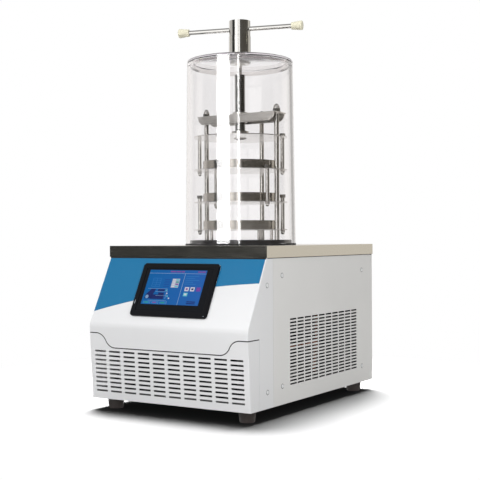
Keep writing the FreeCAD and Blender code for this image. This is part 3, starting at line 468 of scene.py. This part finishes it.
def smoothing_group():
    """Joins a CAD surface's faces and shades its round parts smooth, but keeps sharp edges."""
    tree = bpy.data.node_groups.new("round_surfaces", "GeometryNodeTree")
    for way in ("INPUT", "OUTPUT"):
        tree.interface.new_socket("Geometry", in_out=way, socket_type="NodeSocketGeometry")
    tree.is_modifier = True
    start = tree.nodes.new("NodeGroupInput")
    merged = tree.nodes.new("GeometryNodeMergeByDistance")
    merged.inputs["Distance"].default_value = 0.000002
    faces = tree.nodes.new("GeometryNodeSetShadeSmooth")
    angle = tree.nodes.new("GeometryNodeInputMeshEdgeAngle")
    steep = tree.nodes.new("ShaderNodeMath")
    steep.operation = "GREATER_THAN"
    steep.inputs[1].default_value = SHARP_FROM
    edges = tree.nodes.new("GeometryNodeSetShadeSmooth")
    edges.domain = "EDGE"
    edges.inputs["Shade Smooth"].default_value = False
    end = tree.nodes.new("NodeGroupOutput")
    for before, after, socket in ((start, merged, "Geometry"), (merged, faces, "Geometry"),
                                  (faces, edges, "Geometry"), (angle, steep, 0),
                                  (steep, edges, "Selection"), (edges, end, 0)):
        tree.links.new(before.outputs[0], after.inputs[socket])
    return tree


SMOOTHING = smoothing_group()
for material, names in LOOKS:
    for name in names.split():
        NODES[name].data.materials.clear()
        NODES[name].data.materials.append(material)
        NODES[name].modifiers.new("round_surfaces", "NODES").node_group = SMOOTHING


# ---------------------------------------------------------------- turned and fastened pieces

COLUMN_NODES = ("guide_column_left", "guide_column_right", "guide_column_rear")


def centre_of(node):
    low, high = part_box(node)
    return (low + high) / 2


def threaded_screw():
    """Press screw with a trapezoidal thread and a hollow top."""
    low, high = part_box("press_screw")
    outer = (high.x - low.x) / 2
    root = outer - 2.3 * MM
    socket, socket_end = 5.9 * MM, high.z - 30 * MM
    pitch = 5 * MM
    sides = 40
    columns = int((high.z - low.z) / pitch * sides)
    tooth = ((0.0, root), (0.18, root), (0.36, outer), (0.64, outer), (0.82, root))
    bm = bmesh.new()
    rows = []
    for i in range(columns + sides + 1):
        angle = 2 * math.pi * i / sides
        base = low.z + pitch * (i / sides - 1)
        row = []
        for share, radius in tooth:
            x, y = AXIS_X + radius * math.cos(angle), AXIS_Y + radius * math.sin(angle)
            row.append(bm.verts.new((x, y, min(max(base + share * pitch, low.z), high.z))))
        rows.append(row)
    for i in range(len(rows) - 1):
        here, there = rows[i], rows[i + 1]
        for k in range(len(tooth) - 1):
            bm.faces.new((here[k], there[k], there[k + 1], here[k + 1]))
        if i + sides + 1 < len(rows):
            above, beyond = rows[i + sides], rows[i + sides + 1]
            bm.faces.new((here[-1], there[-1], beyond[0], above[0]))
    rings([(root, high.z), (socket, high.z), (socket, socket_end), (0, socket_end)], sides, AXIS, bm)
    rings([(0, low.z), (root, low.z)], sides, AXIS, bm)
    obj = piece("press_screw_thread", bm, "screw", SCREW_STEEL)
    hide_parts("press_screw")


def dome_nut(bm, x, y, z, flats, hexagon, height):
    """A hexagonal nut with a domed cap, standing on z."""
    half = flats / 2
    top = z + hexagon
    edge = 0.6 * MM
    rings([(0, z), (half * 1.08, z), (half * 1.15, z + edge), (half * 1.15, top - edge), (half * 1.02, top)],
          6, (x, y), bm)
    dome = half * 0.92
    rise = height - hexagon
    angles = [math.radians(degrees) for degrees in range(0, 90, 12)]
    cap = [(dome * math.cos(angle), top + rise * math.sin(angle)) for angle in angles]
    rings([(dome * 0.98, top - 0.3 * MM)] + cap + [(0, z + height)], 24, (x, y), bm)


def column_nuts():
    """Washers and dome nuts where the guide columns come through the yoke."""
    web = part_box("guide_column_left")[1].z + 3 * MM
    washer, thick = 10.5 * MM, 1.5 * MM
    bm = bmesh.new()
    for node in COLUMN_NODES:
        middle = centre_of(node)
        rings([(0, web), (washer, web), (washer, web + thick), (0, web + thick)], 32, middle[:2], bm)
        dome_nut(bm, middle.x, middle.y, web + thick, 17 * MM, 8 * MM, 20 * MM)
    piece("column_dome_nuts", bm, "cabinet", BRIGHT_STEEL)


def solid_boxes(node):
    """Boxes of a node's separate solids, one to a quarter round the jar's axis and to a height."""
    groups = {}
    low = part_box(node)[0].z
    for vertex in NODES[node].data.vertices:
        x, y, z = vertex.co
        key = (x > AXIS_X, y > AXIS_Y, round((z - low) / (30 * MM)))
        groups.setdefault(key, []).append(vertex.co)
    boxes = []
    for points in groups.values():
        lowest = Vector([min(point[k] for point in points) for k in range(3)])
        highest = Vector([max(point[k] for point in points) for k in range(3)])
        boxes.append((lowest, highest))
    return boxes


def acorn_nuts(node, body):
    """Round-ended nuts that point down, one under each rod."""
    reach, tall, dome = 6.3 * MM, 4.6 * MM, 4.9 * MM
    angles = [math.radians(degrees) for degrees in range(0, 90, 15)]
    bm = bmesh.new()
    for low, high in solid_boxes(node):
        middle = ((low.x + high.x) / 2, (low.y + high.y) / 2)
        collar = high.z - tall
        start = collar - 1.8 * MM
        rings([(0, high.z), (reach * 0.95, high.z), (reach, high.z - 0.5 * MM), (reach, collar + 0.5 * MM),
               (reach * 0.9, collar)], 6, middle, bm)
        cap = [(dome * math.cos(angle), start - dome * math.sin(angle)) for angle in angles]
        rings([(dome, collar + 0.3 * MM)] + cap + [(0, start - dome)], 24, middle, bm)
    obj = piece("acorn_" + node, bm, body, BRIGHT_STEEL)
    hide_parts(node)


BAR_TURN = Matrix.Rotation(math.radians(15), 4, "Z")


def tapered_grips():
    """Cream knobs on the bar's ends, wider outwards, with rounded rims."""
    low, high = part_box("handle_bar")
    middle = Vector((AXIS_X, AXIS_Y, (low.z + high.z) / 2))
    inner, outer, length = 9.3 * MM, 11.8 * MM, 28.5 * MM
    start = 136.5 * MM
    end = start + length
    rim = 2.6 * MM
    bore = (high.z - low.z) / 2 + 0.1 * MM
    profile = [(bore, start + 2 * MM), (bore, start + 0.4 * MM), (bore + 0.4 * MM, start)]
    profile += [(inner - 1.2 * MM, start), (inner - 0.3 * MM, start + 0.4 * MM), (inner, start + 1.3 * MM)]
    profile += [(inner + (outer - inner) * k / 4, start + length * (0.1 + 0.75 * k / 4)) for k in range(1, 4)]
    profile += arc((outer - rim, end - rim), rim, 0, 90, 6)
    profile += [(outer * 0.4, end + 0.15 * MM), (0, end + 0.2 * MM)]
    bm = bmesh.new()
    for side in (0, 180):
        knob = rings(profile, 40)
        knob.transform(Matrix.Rotation(math.radians(90), 4, "Y"))
        knob.transform(Matrix.Rotation(math.radians(side), 4, "Z"))
        knob.transform(Matrix.Translation(middle) @ BAR_TURN)
        merge(bm, knob)
    bmesh.ops.recalc_face_normals(bm, faces=bm.faces)
    obj = piece("tapered_grips", bm, "handle", CREAM)
    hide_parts("handle_grips")


def bent_tube(bm, corners, radius, bend, sides=20, steps=8):
    """A round tube along straight runs, with rounded bends and closed ends."""
    path = [corners[0]]
    for before, corner, after in zip(corners, corners[1:], corners[2:]):
        enter = corner + (before - corner).normalized() * bend
        leave = corner + (after - corner).normalized() * bend
        for i in range(steps + 1):
            share = i / steps
            path.append(enter.lerp(corner, share).lerp(corner.lerp(leave, share), share))
    path.append(corners[-1])
    turns = [2 * math.pi * k / sides for k in range(sides)]
    side = (path[1] - path[0]).orthogonal()
    rows = []
    for i, place in enumerate(path):
        ahead = (path[min(i + 1, len(path) - 1)] - path[max(i - 1, 0)]).normalized()
        side = (side - ahead * side.dot(ahead)).normalized()
        across = ahead.cross(side)
        rows.append([bm.verts.new(place + (side * math.cos(a) + across * math.sin(a)) * radius)
                     for a in turns])
    sheathe(bm, rows)
    bm.faces.new(rows[0][::-1])
    bm.faces.new(rows[-1])


def copper_pipe():
    """Discharge line with rounded bends and its charging stub, where the side vent shows them."""
    crown = centre_of("compressor")
    crown.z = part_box("compressor")[1].z - 1 * MM
    end = centre_of("condenser")
    end.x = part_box("condenser")[1].x - 1 * MM
    end.z = 149 * MM
    run, over, radius = 192 * MM, 243 * MM, 5 * MM
    line = [crown, Vector((crown.x, crown.y, over)), Vector((run, crown.y, over)),
            Vector((run, 39 * MM, over)), Vector((run, 32 * MM, end.z)), Vector((run, end.y, end.z)), end]
    stub = [Vector((run, 33 * MM, end.z + 12 * MM)), Vector((run, 21 * MM, 78 * MM))]
    bm = bmesh.new()
    bent_tube(bm, line, radius, 14 * MM)
    bent_tube(bm, stub, radius, 0)
    obj = piece("bent_discharge_line", bm, "cabinet", COPPER, 40)
    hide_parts("discharge_line")


def plug_contacts():
    """Three flat contacts that stand in the mains inlet's recess."""
    low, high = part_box("power_inlet")
    x, z = (low.x + high.x) / 2, (low.z + high.z) / 2
    back = high.y - 17 * MM
    size = Vector((2, 13, 4)) * MM
    bm = bmesh.new()
    for dx, dz in ((-7, -1.6), (7, -1.6), (0, 2.4)):
        made = bmesh.ops.create_cube(bm, size=1)["verts"]
        bmesh.ops.scale(bm, verts=made, vec=size)
        bmesh.ops.translate(bm, verts=made, vec=(x + dx * MM, back + size.y / 2, z + dz * MM))
    bmesh.ops.bevel(bm, geom=bm.edges[:], offset=0.4 * MM, segments=2, affect="EDGES", profile=0.6)
    piece("plug_contacts", bm, "cabinet", BRIGHT_STEEL)


# The sloping front: its top edge at X = 0, then down the slope and out of it, and the display on it.
SLOPE_TOP = Vector((0, -256.2, 364.0)) * MM
DOWN_SLOPE = Vector((0, -0.4575, -0.8892))
OUT_OF_SLOPE = Vector((0, -0.8892, 0.4575))
PICTURE_LEFT, PICTURE_WIDE = -84 * MM, 162 * MM
PICTURE_TOP, PICTURE_TALL = 35.5 * MM, 88 * MM
GLASS = 5 * MM
LAYER = 0.07 * MM


def on_slope(x, down, out):
    return SLOPE_TOP + Vector((x, 0, 0)) + DOWN_SLOPE * down + OUT_OF_SLOPE * out


def display_picture():
    """Plain control screen: a plan of the machine, a table, icons and buttons, with no words.

    Places on it are shares of its width, from the left, and of its height, from the top.
    """
    kinds = {
        "ground": picture_field("display_blue", srgb(6, 90, 154), srgb(40, 90, 168)),
        "line": lit_pixels("display_line", srgb(120, 150, 186)),
        "faint": lit_pixels("display_faint", srgb(44, 112, 176)),
        "shade": lit_pixels("display_shade", srgb(24, 66, 138)),
        "navy": lit_pixels("display_navy", srgb(26, 40, 96)),
        "grey": lit_pixels("display_grey", srgb(158, 166, 184)),
        "white": lit_pixels("display_white", srgb(192, 192, 204)),
        "violet": lit_pixels("display_violet", srgb(104, 62, 150)),
        "teal": lit_pixels("display_teal", srgb(92, 178, 190)),
        "green": lit_pixels("display_green", srgb(40, 140, 130)),
        "plum": lit_pixels("display_plum", srgb(120, 70, 140)),
    }
    order = list(kinds)
    bm = bmesh.new()

    def patch(kind, corners, layer):
        verts = []
        for u, v in corners:
            across, down = PICTURE_LEFT + PICTURE_WIDE * u, PICTURE_TOP + PICTURE_TALL * v
            verts.append(bm.verts.new(on_slope(across, down, GLASS + layer * LAYER)))
        bm.faces.new(verts).material_index = order.index(kind)

    def block(kind, u0, v0, u1, v1, layer=2):
        patch(kind, ((u0, v0), (u0, v1), (u1, v1), (u1, v0)), layer)

    block("ground", 0, 0, 1, 1, 1)
    block("line", 0.0, 0.093, 1.0, 0.104)
    block("line", 0.637, 0.104, 0.645, 1.0)
    for u0, u1 in ((0.37, 0.46), (0.47, 0.55), (0.56, 0.62), (0.85, 0.91), (0.92, 0.98)):
        block("plum", u0, 0.03, u1, 0.065)
    for k in range(5):
        block("shade", 0.31, 0.27 + k * 0.05, 0.41, 0.285 + k * 0.05)
        block("faint", 0.10, 0.24 + k * 0.06, 0.24, 0.25 + k * 0.06)
        line = (0.22, 0.16, 0.24, 0.14, 0.20)[k]
        block("faint", 0.67, 0.17 + k * 0.055, 0.67 + line, 0.185 + k * 0.055)
    for u in (0.10, 0.17, 0.24):
        block("faint", u, 0.24, u + 0.006, 0.49)
    block("grey", 0.445, 0.25, 0.575, 0.51)
    for k in range(4):
        block("white", 0.452, 0.262 + k * 0.063, 0.505, 0.307 + k * 0.063, 3)
        block(("teal", "green", "plum", "teal")[k], 0.515, 0.267 + k * 0.063, 0.565, 0.302 + k * 0.063, 3)
    # plan of the machine
    patch("navy", ((0.12, 0.56), (0.045, 0.72), (0.03, 0.84), (0.15, 0.84), (0.20, 0.56)), 2)
    block("navy", 0.14, 0.72, 0.37, 0.85)
    block("navy", 0.24, 0.56, 0.36, 0.62)
    block("navy", 0.26, 0.66, 0.36, 0.72, 3)
    block("line", 0.05, 0.545, 0.40, 0.553)
    block("line", 0.20, 0.63, 0.42, 0.638, 3)
    block("line", 0.40, 0.56, 0.405, 0.84)
    block("line", 0.22, 0.745, 0.44, 0.753, 3)
    for u, v, kind in ((0.375, 0.575, "teal"), (0.40, 0.665, "white"),
                       (0.42, 0.74, "teal"), (0.455, 0.80, "white")):
        block(kind, u, v, u + 0.022, v + 0.035, 3)
    angles = [k * math.pi / 8 for k in range(16)]
    patch("line", [(0.075 + 0.028 * math.cos(a), 0.785 - 0.052 * math.sin(a)) for a in angles], 4)
    # icons
    for u, kind, mark in ((0.70, "white", "plum"), (0.797, "white", "navy"), (0.90, "violet", "plum")):
        block(kind, u, 0.485, u + 0.072, 0.60)
        block(mark, u + 0.018, 0.515, u + 0.054, 0.565, 3)
    block("teal", 0.70, 0.645, 0.772, 0.745)
    block("white", 0.716, 0.665, 0.756, 0.715, 3)
    # buttons along the bottom
    block("line", 0.10, 0.885, 0.43, 0.893)
    for u0, kind in ((0.0, "green"), (0.145, "plum"), (0.29, "green")):
        block("faint", u0 + 0.03, 0.905, u0 + 0.15, 0.985)
        block(kind, u0 + 0.055, 0.93, u0 + 0.125, 0.962, 3)
        block("line", u0 + 0.155, 0.893, u0 + 0.159, 0.99, 3)
    for v in (0.885, 0.935):
        block("navy", 0.79, v, 0.94, v + 0.028)
    obj = piece("display_picture", bm, "cabinet", kinds["ground"], 30)
    for kind in order[1:]:
        obj.data.materials.append(kinds[kind])


def painted_lid_shadow():
    """Black strip in the gap under the lid's front edge: a painted shadow."""
    bm = bmesh.new()
    half = FRONT_HIGH.x - 1 * MM
    rows = []
    for down, out in ((0.3, 0.0), (0.3, 0.5), (0.6, 0.8), (3.0, 0.8), (3.4, 0.5), (3.4, 0.0)):
        rows.append([bm.verts.new(on_slope(x, down * MM, out * MM)) for x in (-half, half)])
    for low, high in zip(rows, rows[1:]):
        bm.faces.new((low[0], low[1], high[1], high[0]))
    for side in (0, 1):
        bm.faces.new([row[side] for row in rows])
    bmesh.ops.recalc_face_normals(bm, faces=bm.faces)
    piece("lid_shadow_strip", bm, "cabinet", RUBBER)


def painted_seam_shadow():
    """Thin black strip that follows the seam between the front cover and the grille cover, a painted shadow
    in the seam.
    """
    source = bmesh.new()
    source.from_mesh(NODES["grille_cover"].data)
    bmesh.ops.remove_doubles(source, verts=source.verts, dist=2e-6)
    source.normal_update()
    above_slots = 140 * MM  # the highest slot's lower edge is just under this
    border = {face for face in source.faces if abs(face.normal.y) < 0.01 and face.normal.z > 0.2
              and face.calc_center_median().z > above_slots}
    middle_y = (LID_LOW.y + LID_HIGH.y) / 2
    follow, upward, outward = {}, {}, {}
    for edge in source.edges:
        inside = [face for face in edge.link_faces if face in border]
        skin = [face for face in edge.link_faces if face not in border]
        if len(inside) != 1 or len(skin) != 1:
            continue
        first, second = edge.verts
        place = (first.co + second.co) / 2
        facing = skin[0].normal
        if facing.x * place.x + facing.y * (place.y - middle_y) < 0.02 or facing.y > 0.5:
            continue  # not an outer edge, or one at the back
        for vertex, other in ((first, second), (second, first)):
            follow.setdefault(vertex, []).append(other)
            upward[vertex] = upward.get(vertex, Vector()) + inside[0].normal
            outward[vertex] = outward.get(vertex, Vector()) + facing
    ends = [vertex for vertex in follow if len(follow[vertex]) == 1]
    here = min(ends, key=lambda vertex: vertex.co.x)
    line = [here]
    while len(line) == 1 or len(follow[here]) == 2:
        here = next(vertex for vertex in follow[here] if vertex not in line)
        line.append(here)
    below, above, sunk, proud = -0.7 * MM, 1.6 * MM, -0.1 * MM, 0.15 * MM
    section = ((below, sunk), (below, proud), (above, proud), (above, sunk))
    bm = bmesh.new()
    rows = []
    for vertex in line:
        out = outward[vertex].normalized()
        up = upward[vertex]
        up = (up - out * up.dot(out)).normalized()
        rows.append([bm.verts.new(vertex.co + up * lift + out * step) for lift, step in section])
    source.free()
    sheathe(bm, rows)
    bm.faces.new(rows[0])
    bm.faces.new(rows[-1][::-1])
    bmesh.ops.recalc_face_normals(bm, faces=bm.faces)
    # The black strip over the seam is a painted shadow.
    piece("painted_seam_shadow", bm, "cabinet", RUBBER)


def bezel_marks():
    """Status lamp, and the small clear dot on the touch panel's frame, which glows as a painted glint."""
    bm = bmesh.new()
    out = 6 * MM
    for x, down, wide, tall in ((-101.5, 119, 1.2, 9), (101.5, 148.5, 1.6, 1.6)):
        low = [on_slope((x + dx * wide) * MM, (down + dy * tall) * MM, out)
               for dx, dy in ((-0.5, -0.5), (-0.5, 0.5), (0.5, 0.5), (0.5, -0.5))]
        high = [corner + OUT_OF_SLOPE * 0.25 * MM for corner in low]
        verts = [bm.verts.new(corner) for corner in low + high]
        bm.faces.new(verts[4:])
        sheathe(bm, (verts[:4], verts[4:]))
    bmesh.ops.recalc_face_normals(bm, faces=bm.faces)
    # Both marks glow; on the clear dot the glow is a painted glint.
    lamp = lit_pixels("status_lamp_and_painted_glint", srgb(170, 176, 182), 0.5)
    piece("bezel_marks", bm, "cabinet", lamp)


def tapered_feet():
    """Rubber feet, a little narrower at the floor, with a wider rim under the pan."""
    low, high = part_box("rubber_feet")
    waist = FOOT_RADIUS - 0.6 * MM
    profile = [(0, low.z), (FOOT_RADIUS - 4.5 * MM, low.z), (FOOT_RADIUS - 3.2 * MM, low.z + 1.5 * MM),
               (waist, high.z - 4 * MM), (waist, high.z - 2.5 * MM),
               (FOOT_RADIUS, high.z - 2 * MM), (FOOT_RADIUS, high.z), (0, high.z)]
    bm = bmesh.new()
    for x in (low.x + FOOT_RADIUS, high.x - FOOT_RADIUS):
        for y in (low.y + FOOT_RADIUS, high.y - FOOT_RADIUS):
            rings(profile, 48, (x, y), bm)
    obj = piece("tapered_feet", bm, "cabinet", FOOT_RUBBER)
    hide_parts("rubber_feet")


def gasket_lip():
    """Upright inner lip of the jar's seal, rounded along its top."""
    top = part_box("jar_gasket")[1].z
    outer, inner, rise = 129.5 * MM, 125 * MM, 9 * MM
    round_off = (outer - inner) / 2
    crown = arc(((outer + inner) / 2, top + rise - round_off), round_off, 0, 180, 10)
    bm = rings([(outer, top)] + crown + [(inner, top)], 144, AXIS)
    piece("gasket_lip", bm, "cabinet", RUBBER)


def thrust_ring():
    """Retaining ring of the press foot, under the press plate."""
    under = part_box("press_plate")[0].z
    middle, end = under - 1.2 * MM, under - 1.8 * MM
    bm = rings([(16 * MM, under), (16 * MM, middle), (15.4 * MM, end), (11.6 * MM, end), (11 * MM, middle),
                (11 * MM, under)], 48, AXIS)
    piece("thrust_ring", bm, "press", SCREW_STEEL)


def jar():
    """Clear jar: slightly tapered wall, rounded shoulder, flat top with a ring in its corner and a hole."""
    base, top = JAR_LOW.z, JAR_HIGH.z
    foot = (JAR_HIGH.x - JAR_LOW.x) / 2
    taper = JAR_TOP_RADIUS - foot
    under = top - 6 * MM
    ring_low = under - 10 * MM
    inside = JAR_TOP_RADIUS - JAR_WALL
    ring = inside - 7 * MM
    hole = 14 * MM
    fillet = 5 * MM
    cove = 2 * MM
    chamfer = 0.6 * MM
    rise = 24
    shares = [i / rise for i in range(1, rise + 1)]
    outside = [(foot - chamfer, base), (foot, base + chamfer)]
    outside += [(foot + taper * share, base + (top - fillet - base) * share) for share in shares[:-1]]
    outside += arc((JAR_TOP_RADIUS - fillet, top - fillet), fillet, 0, 90, 8)
    ceiling = [(hole, top), (hole, under), (ring - cove, under), (ring, under - cove),
               (ring, ring_low + cove), (ring + cove, ring_low), (inside - cove, ring_low)]
    wall = [(foot - JAR_WALL + taper * share, base + (ring_low - cove - base) * share)
            for share in reversed(shares)]
    profile = outside + ceiling + wall + [(foot - JAR_WALL, base), (foot - chamfer, base)]
    bm = rings(profile, 160, AXIS)
    bmesh.ops.remove_doubles(bm, verts=bm.verts, dist=1e-6)
    # The faces of the ring under the top take the grey painted shade.
    for face in bm.faces:
        middle = face.calc_center_median()
        reach = (middle.xy - Vector(AXIS)).length
        if ring - 1 * MM < reach < inside - 0.5 * MM and middle.z < under - 0.5 * MM:
            face.material_index = 1
    obj = piece("clear_jar", bm, "cabinet", JAR, 40)
    obj.data.materials.append(JAR_TOP_PAINTED_SHADE)
    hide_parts("bell_jar")
    return obj


def on_both_sides(profile, sides, places):
    """The same turned shape set into both side panels at each (depth, height)."""
    bm = bmesh.new()
    for side in (1, -1):
        for y, z in places:
            made = rings(profile, sides)
            turn = Matrix.Rotation(math.radians(90 * side), 4, "Y")
            made.transform(Matrix.Translation((side * SIDE_HIGH.x, y, z)) @ turn)
            merge(bm, made)
    return bm


def panel_screws():
    """Painted pan-head screws with a round recess, and a dark ring round each, a painted shadow at the head's
    rim.
    """
    cheek, front, rear = (LID_LOW.y + y * MM for y in (3.3, 70, 490))
    places = [(cheek, 303 * MM), (cheek, 64.5 * MM)]
    places += [(y, z * MM) for z in (323, 70) for y in (front, rear)]
    # The dark ring round each head is painted shadow.
    washer = [(5.9 * MM, 0), (5.9 * MM, 0.2 * MM), (5.0 * MM, 0.2 * MM), (5.0 * MM, 0)]
    piece("screw_shadow_rings", on_both_sides(washer, 32, places), "cabinet", BLACK)
    head = [(4.9 * MM, 0), (4.9 * MM, 0.3 * MM), (4.4 * MM, 0.8 * MM), (3.0 * MM, 1.1 * MM),
            (1.9 * MM, 1.2 * MM), (1.5 * MM, 0.5 * MM), (0, 0.4 * MM)]
    piece("panel_screws", on_both_sides(head, 32, places), "cabinet", WHITE)


def painted_side_shadows():
    """Thin black strip between the lid's side skirts and the side panels: a painted shadow."""
    bm = bmesh.new()
    for side in (1, -1):
        corners = [bm.verts.new((x, y, z))
                   for x in (side * SIDE_HIGH.x, side * (SIDE_HIGH.x + 0.5 * MM))
                   for y in (SIDE_SHADOW_FRONT, LID_HIGH.y - 3 * MM)
                   for z in (362.4 * MM, 364 * MM)]
        for quad in ((0, 1, 3, 2), (4, 6, 7, 5), (0, 4, 5, 1), (2, 3, 7, 6), (0, 2, 6, 4), (1, 5, 7, 3)):
            bm.faces.new([corners[i] for i in quad])
    bmesh.ops.recalc_face_normals(bm, faces=bm.faces)
    piece("side_shadow_strips", bm, "cabinet", RUBBER)


threaded_screw()
column_nuts()
acorn_nuts("rod_nuts_hung", "press")
acorn_nuts("rod_nuts_fixed", "cabinet")
tapered_grips()
copper_pipe()
plug_contacts()
display_picture()
bezel_marks()
painted_seam_shadow()
painted_lid_shadow()
tapered_feet()
gasket_lip()
thrust_ring()
jar_object = jar()
panel_screws()
painted_side_shadows()


# ---------------------------------------------------------------- stage, light and camera

CAMERA_PLACE = Vector((1.36029, -2.16556, 0.41061))
CAMERA_TURN = math.radians(32.30)
CAMERA_PITCH = -0.0027647
CAMERA_ROLL = -0.0050643
LENS = 74.898
SENSOR = 36


def camera():
    """The camera as fitted to the photo, 32 degrees round from the front towards the vent side."""
    ahead = Vector((-math.sin(CAMERA_TURN) * math.cos(CAMERA_PITCH),
                    math.cos(CAMERA_TURN) * math.cos(CAMERA_PITCH), math.sin(CAMERA_PITCH)))
    across = Vector((math.cos(CAMERA_TURN), math.sin(CAMERA_TURN), 0))
    upward = across.cross(ahead)
    right = across * math.cos(CAMERA_ROLL) + upward * math.sin(CAMERA_ROLL)
    up = upward * math.cos(CAMERA_ROLL) - across * math.sin(CAMERA_ROLL)
    data = bpy.data.cameras.new("camera")
    data.lens = LENS
    data.sensor_width = SENSOR
    obj = link(bpy.data.objects.new("camera", data))
    turn = Matrix((right, up, -ahead)).transposed().to_4x4()
    obj.matrix_world = Matrix.Translation(CAMERA_PLACE) @ turn
    bpy.context.scene.camera = obj


FLOOR_SEEN = (0.06, 0.06, 0.06, 1)
FLOOR_THROWN = (0.0162, 0.0162, 0.0159, 1)
FADE_START, FADE_END = 0.55, 1.0


def floor():
    """Floor that its own strong lamp turns white, plain white further out, and dim to the machine."""
    bm = bmesh.new()
    bmesh.ops.create_grid(bm, x_segments=1, y_segments=1, size=30)
    mesh = bpy.data.meshes.new("floor")
    bm.to_mesh(mesh)
    bm.free()
    obj = link(bpy.data.objects.new("floor", mesh))
    shader = Shader("floor_white", (1, 1, 1, 1), 0.9)
    seen = shader.new("BsdfDiffuse", FLOOR_SEEN)
    thrown = shader.new("BsdfDiffuse", FLOOR_THROWN)
    distance = shader.vector("LENGTH", shader.coordinates)
    share = shader.new("MapRange", distance, FADE_START, FADE_END, interpolation_type="SMOOTHSTEP")
    fade = shader.either(share.outputs[0], seen, shader.new("Emission"))
    shown = shader.either(shader.ray_is("Is Diffuse Ray"), fade, thrown)
    shader.feed(shader.output.inputs["Surface"], shown.outputs[0])
    mesh.materials.append(shader.material)
    obj.visible_glossy = False
    return obj


# What polished metal mirrors, by direction: degrees anticlockwise from +X seen from above, brightness, tint.
STUDIO = (
    (-180, 0.55, (1.0, 0.98, 0.95)), (-147, 0.70, (1.0, 0.98, 0.95)), (-142, 0.04, (0.95, 1, 1)),
    (-113, 0.035, (0.95, 1, 1)), (-108, 1.7, (1, 1, 1)), (-79, 1.7, (1, 1, 1)), (-75, 0.25, (1, 1, 1)),
    (-73, 0.20, (1, 1, 1)), (-71, 1.6, (1, 1, 1)), (-59, 1.6, (1, 1, 1)), (-56, 0.11, (1, 0.95, 0.86)),
    (-15, 0.09, (1, 0.93, 0.80)), (25, 0.10, (1, 0.93, 0.80)), (43, 0.20, (1.0, 0.96, 0.88)),
    (50, 0.78, (1.0, 0.96, 0.88)), (69, 0.78, (1.0, 0.96, 0.88)), (75, 0.45, (1, 0.98, 0.95)),
    (98, 0.50, (1, 0.98, 0.95)), (106, 0.95, (1, 0.98, 0.96)), (150, 0.95, (1, 0.98, 0.96)),
)
AMBIENT, AMBIENT_TINT = 0.44, (0.97, 0.985, 1, 1)
WHITE_LIGHT = (1, 1, 1, 1)
SEEN_DIRECT, SLANTING, OVERHEAD = 1.0, 0.7, 0.25


def world():
    """Even light for matt surfaces, white for the camera, and panels of light and dark for polished ones."""
    scene = bpy.context.scene
    scene.world = bpy.data.worlds.new("world")
    nodes = Nodes(scene.world)
    axes = nodes.new("SeparateXYZ", nodes.new("TexCoord").outputs["Generated"]).outputs
    turn = nodes.maths("ARCTAN2", axes[1], axes[0])
    ramp = nodes.new("ValToRGB", nodes.maths("MULTIPLY_ADD", turn, 1 / (2 * math.pi), 0.5))
    stops = ramp.color_ramp.elements
    peak = max(bright for degrees, bright, tint in STUDIO)
    for i, (degrees, bright, tint) in enumerate(STUDIO):
        position = (degrees + 180) / 360
        stop = stops[i] if i < 2 else stops.new(position)
        stop.position = position
        stop.color = [bright / peak * channel for channel in tint] + [1]
    steepness = nodes.maths("ABSOLUTE", axes[2])

    def steeper(start, gain):
        """How far a direction is past a steepness, from 0 to 1."""
        past = nodes.maths("MAXIMUM", nodes.maths("SUBTRACT", steepness, start), 0)
        return nodes.maths("MINIMUM", nodes.maths("MULTIPLY", past, gain), 1)

    def deeper(kind):
        """Whether a ray has met a surface of some kind before."""
        return nodes.maths("GREATER_THAN", nodes.ray_is(kind), 0.5)

    level = nodes.new("Background", ramp.outputs[0], peak)
    slanting = nodes.new("Background", WHITE_LIGHT, SLANTING)
    overhead = nodes.new("Background", WHITE_LIGHT, OVERHEAD)
    mirrored = nodes.either(steeper(0.8, 10), nodes.either(steeper(0.3, 5), level, slanting), overhead)
    shown = nodes.either(deeper("Glossy Depth"), nodes.new("Background", WHITE_LIGHT, SEEN_DIRECT), mirrored)
    ambient = nodes.new("Background", AMBIENT_TINT, AMBIENT)
    nodes.new("OutputWorld", nodes.either(deeper("Diffuse Depth"), shown, ambient).outputs[0])
    scene.view_settings.view_transform = "Standard"


def softbox(name, place, target, width, height, power, mirrored):
    """A rectangular lamp that faces a point, and that polished surfaces mirror or don't."""
    data = bpy.data.lights.new(name, "AREA")
    data.shape = "RECTANGLE"
    data.size = width
    data.size_y = height
    data.energy = power
    obj = link(bpy.data.objects.new(name, data))
    obj.location = place
    obj.rotation_euler = (Vector(target) - Vector(place)).to_track_quat("-Z", "Y").to_euler()
    obj.visible_glossy = mirrored
    obj.visible_transmission = False
    return obj


def only_on(light, target, state):
    """The light falls on one object alone, or on all but that one."""
    group = bpy.data.collections.new(light.name + "_receivers")
    light.light_linking.receiver_collection = group
    group.objects.link(target)
    group.collection_objects[0].light_linking.link_state = state


camera()
ground = floor()
world()

# Name, place, the point it faces, width, height, watts, mirrored or not, and what it falls on.
for *lamp, receiver, state in (
        ("key_light", (-1.5, -2.6, 2.9), (0, 0, 0.35), 1.8, 1.8, 66, False, ground, "EXCLUDE"),
        ("fill_light", (1.9, -1.9, 0.8), (0, 0, 0.2), 1.2, 1.2, 36, False, ground, "EXCLUDE"),
        ("floor_light", (-0.9, 1.2, 4.2), (0.05, -0.1, 0), 2.7, 2.7, 6900, False, ground, "INCLUDE"),
        ("window_in_jar", (-0.14, -2.51, 0.85), (0, 0, 0.85), 1.2, 1.5, 105, True, jar_object, "INCLUDE"),
        ("strip_in_jar", (1.54, -2.81, 0.85), (0, 0, 0.85), 0.22, 1.9, 22, True, jar_object, "INCLUDE")):
    only_on(softbox(*lamp), receiver, state)
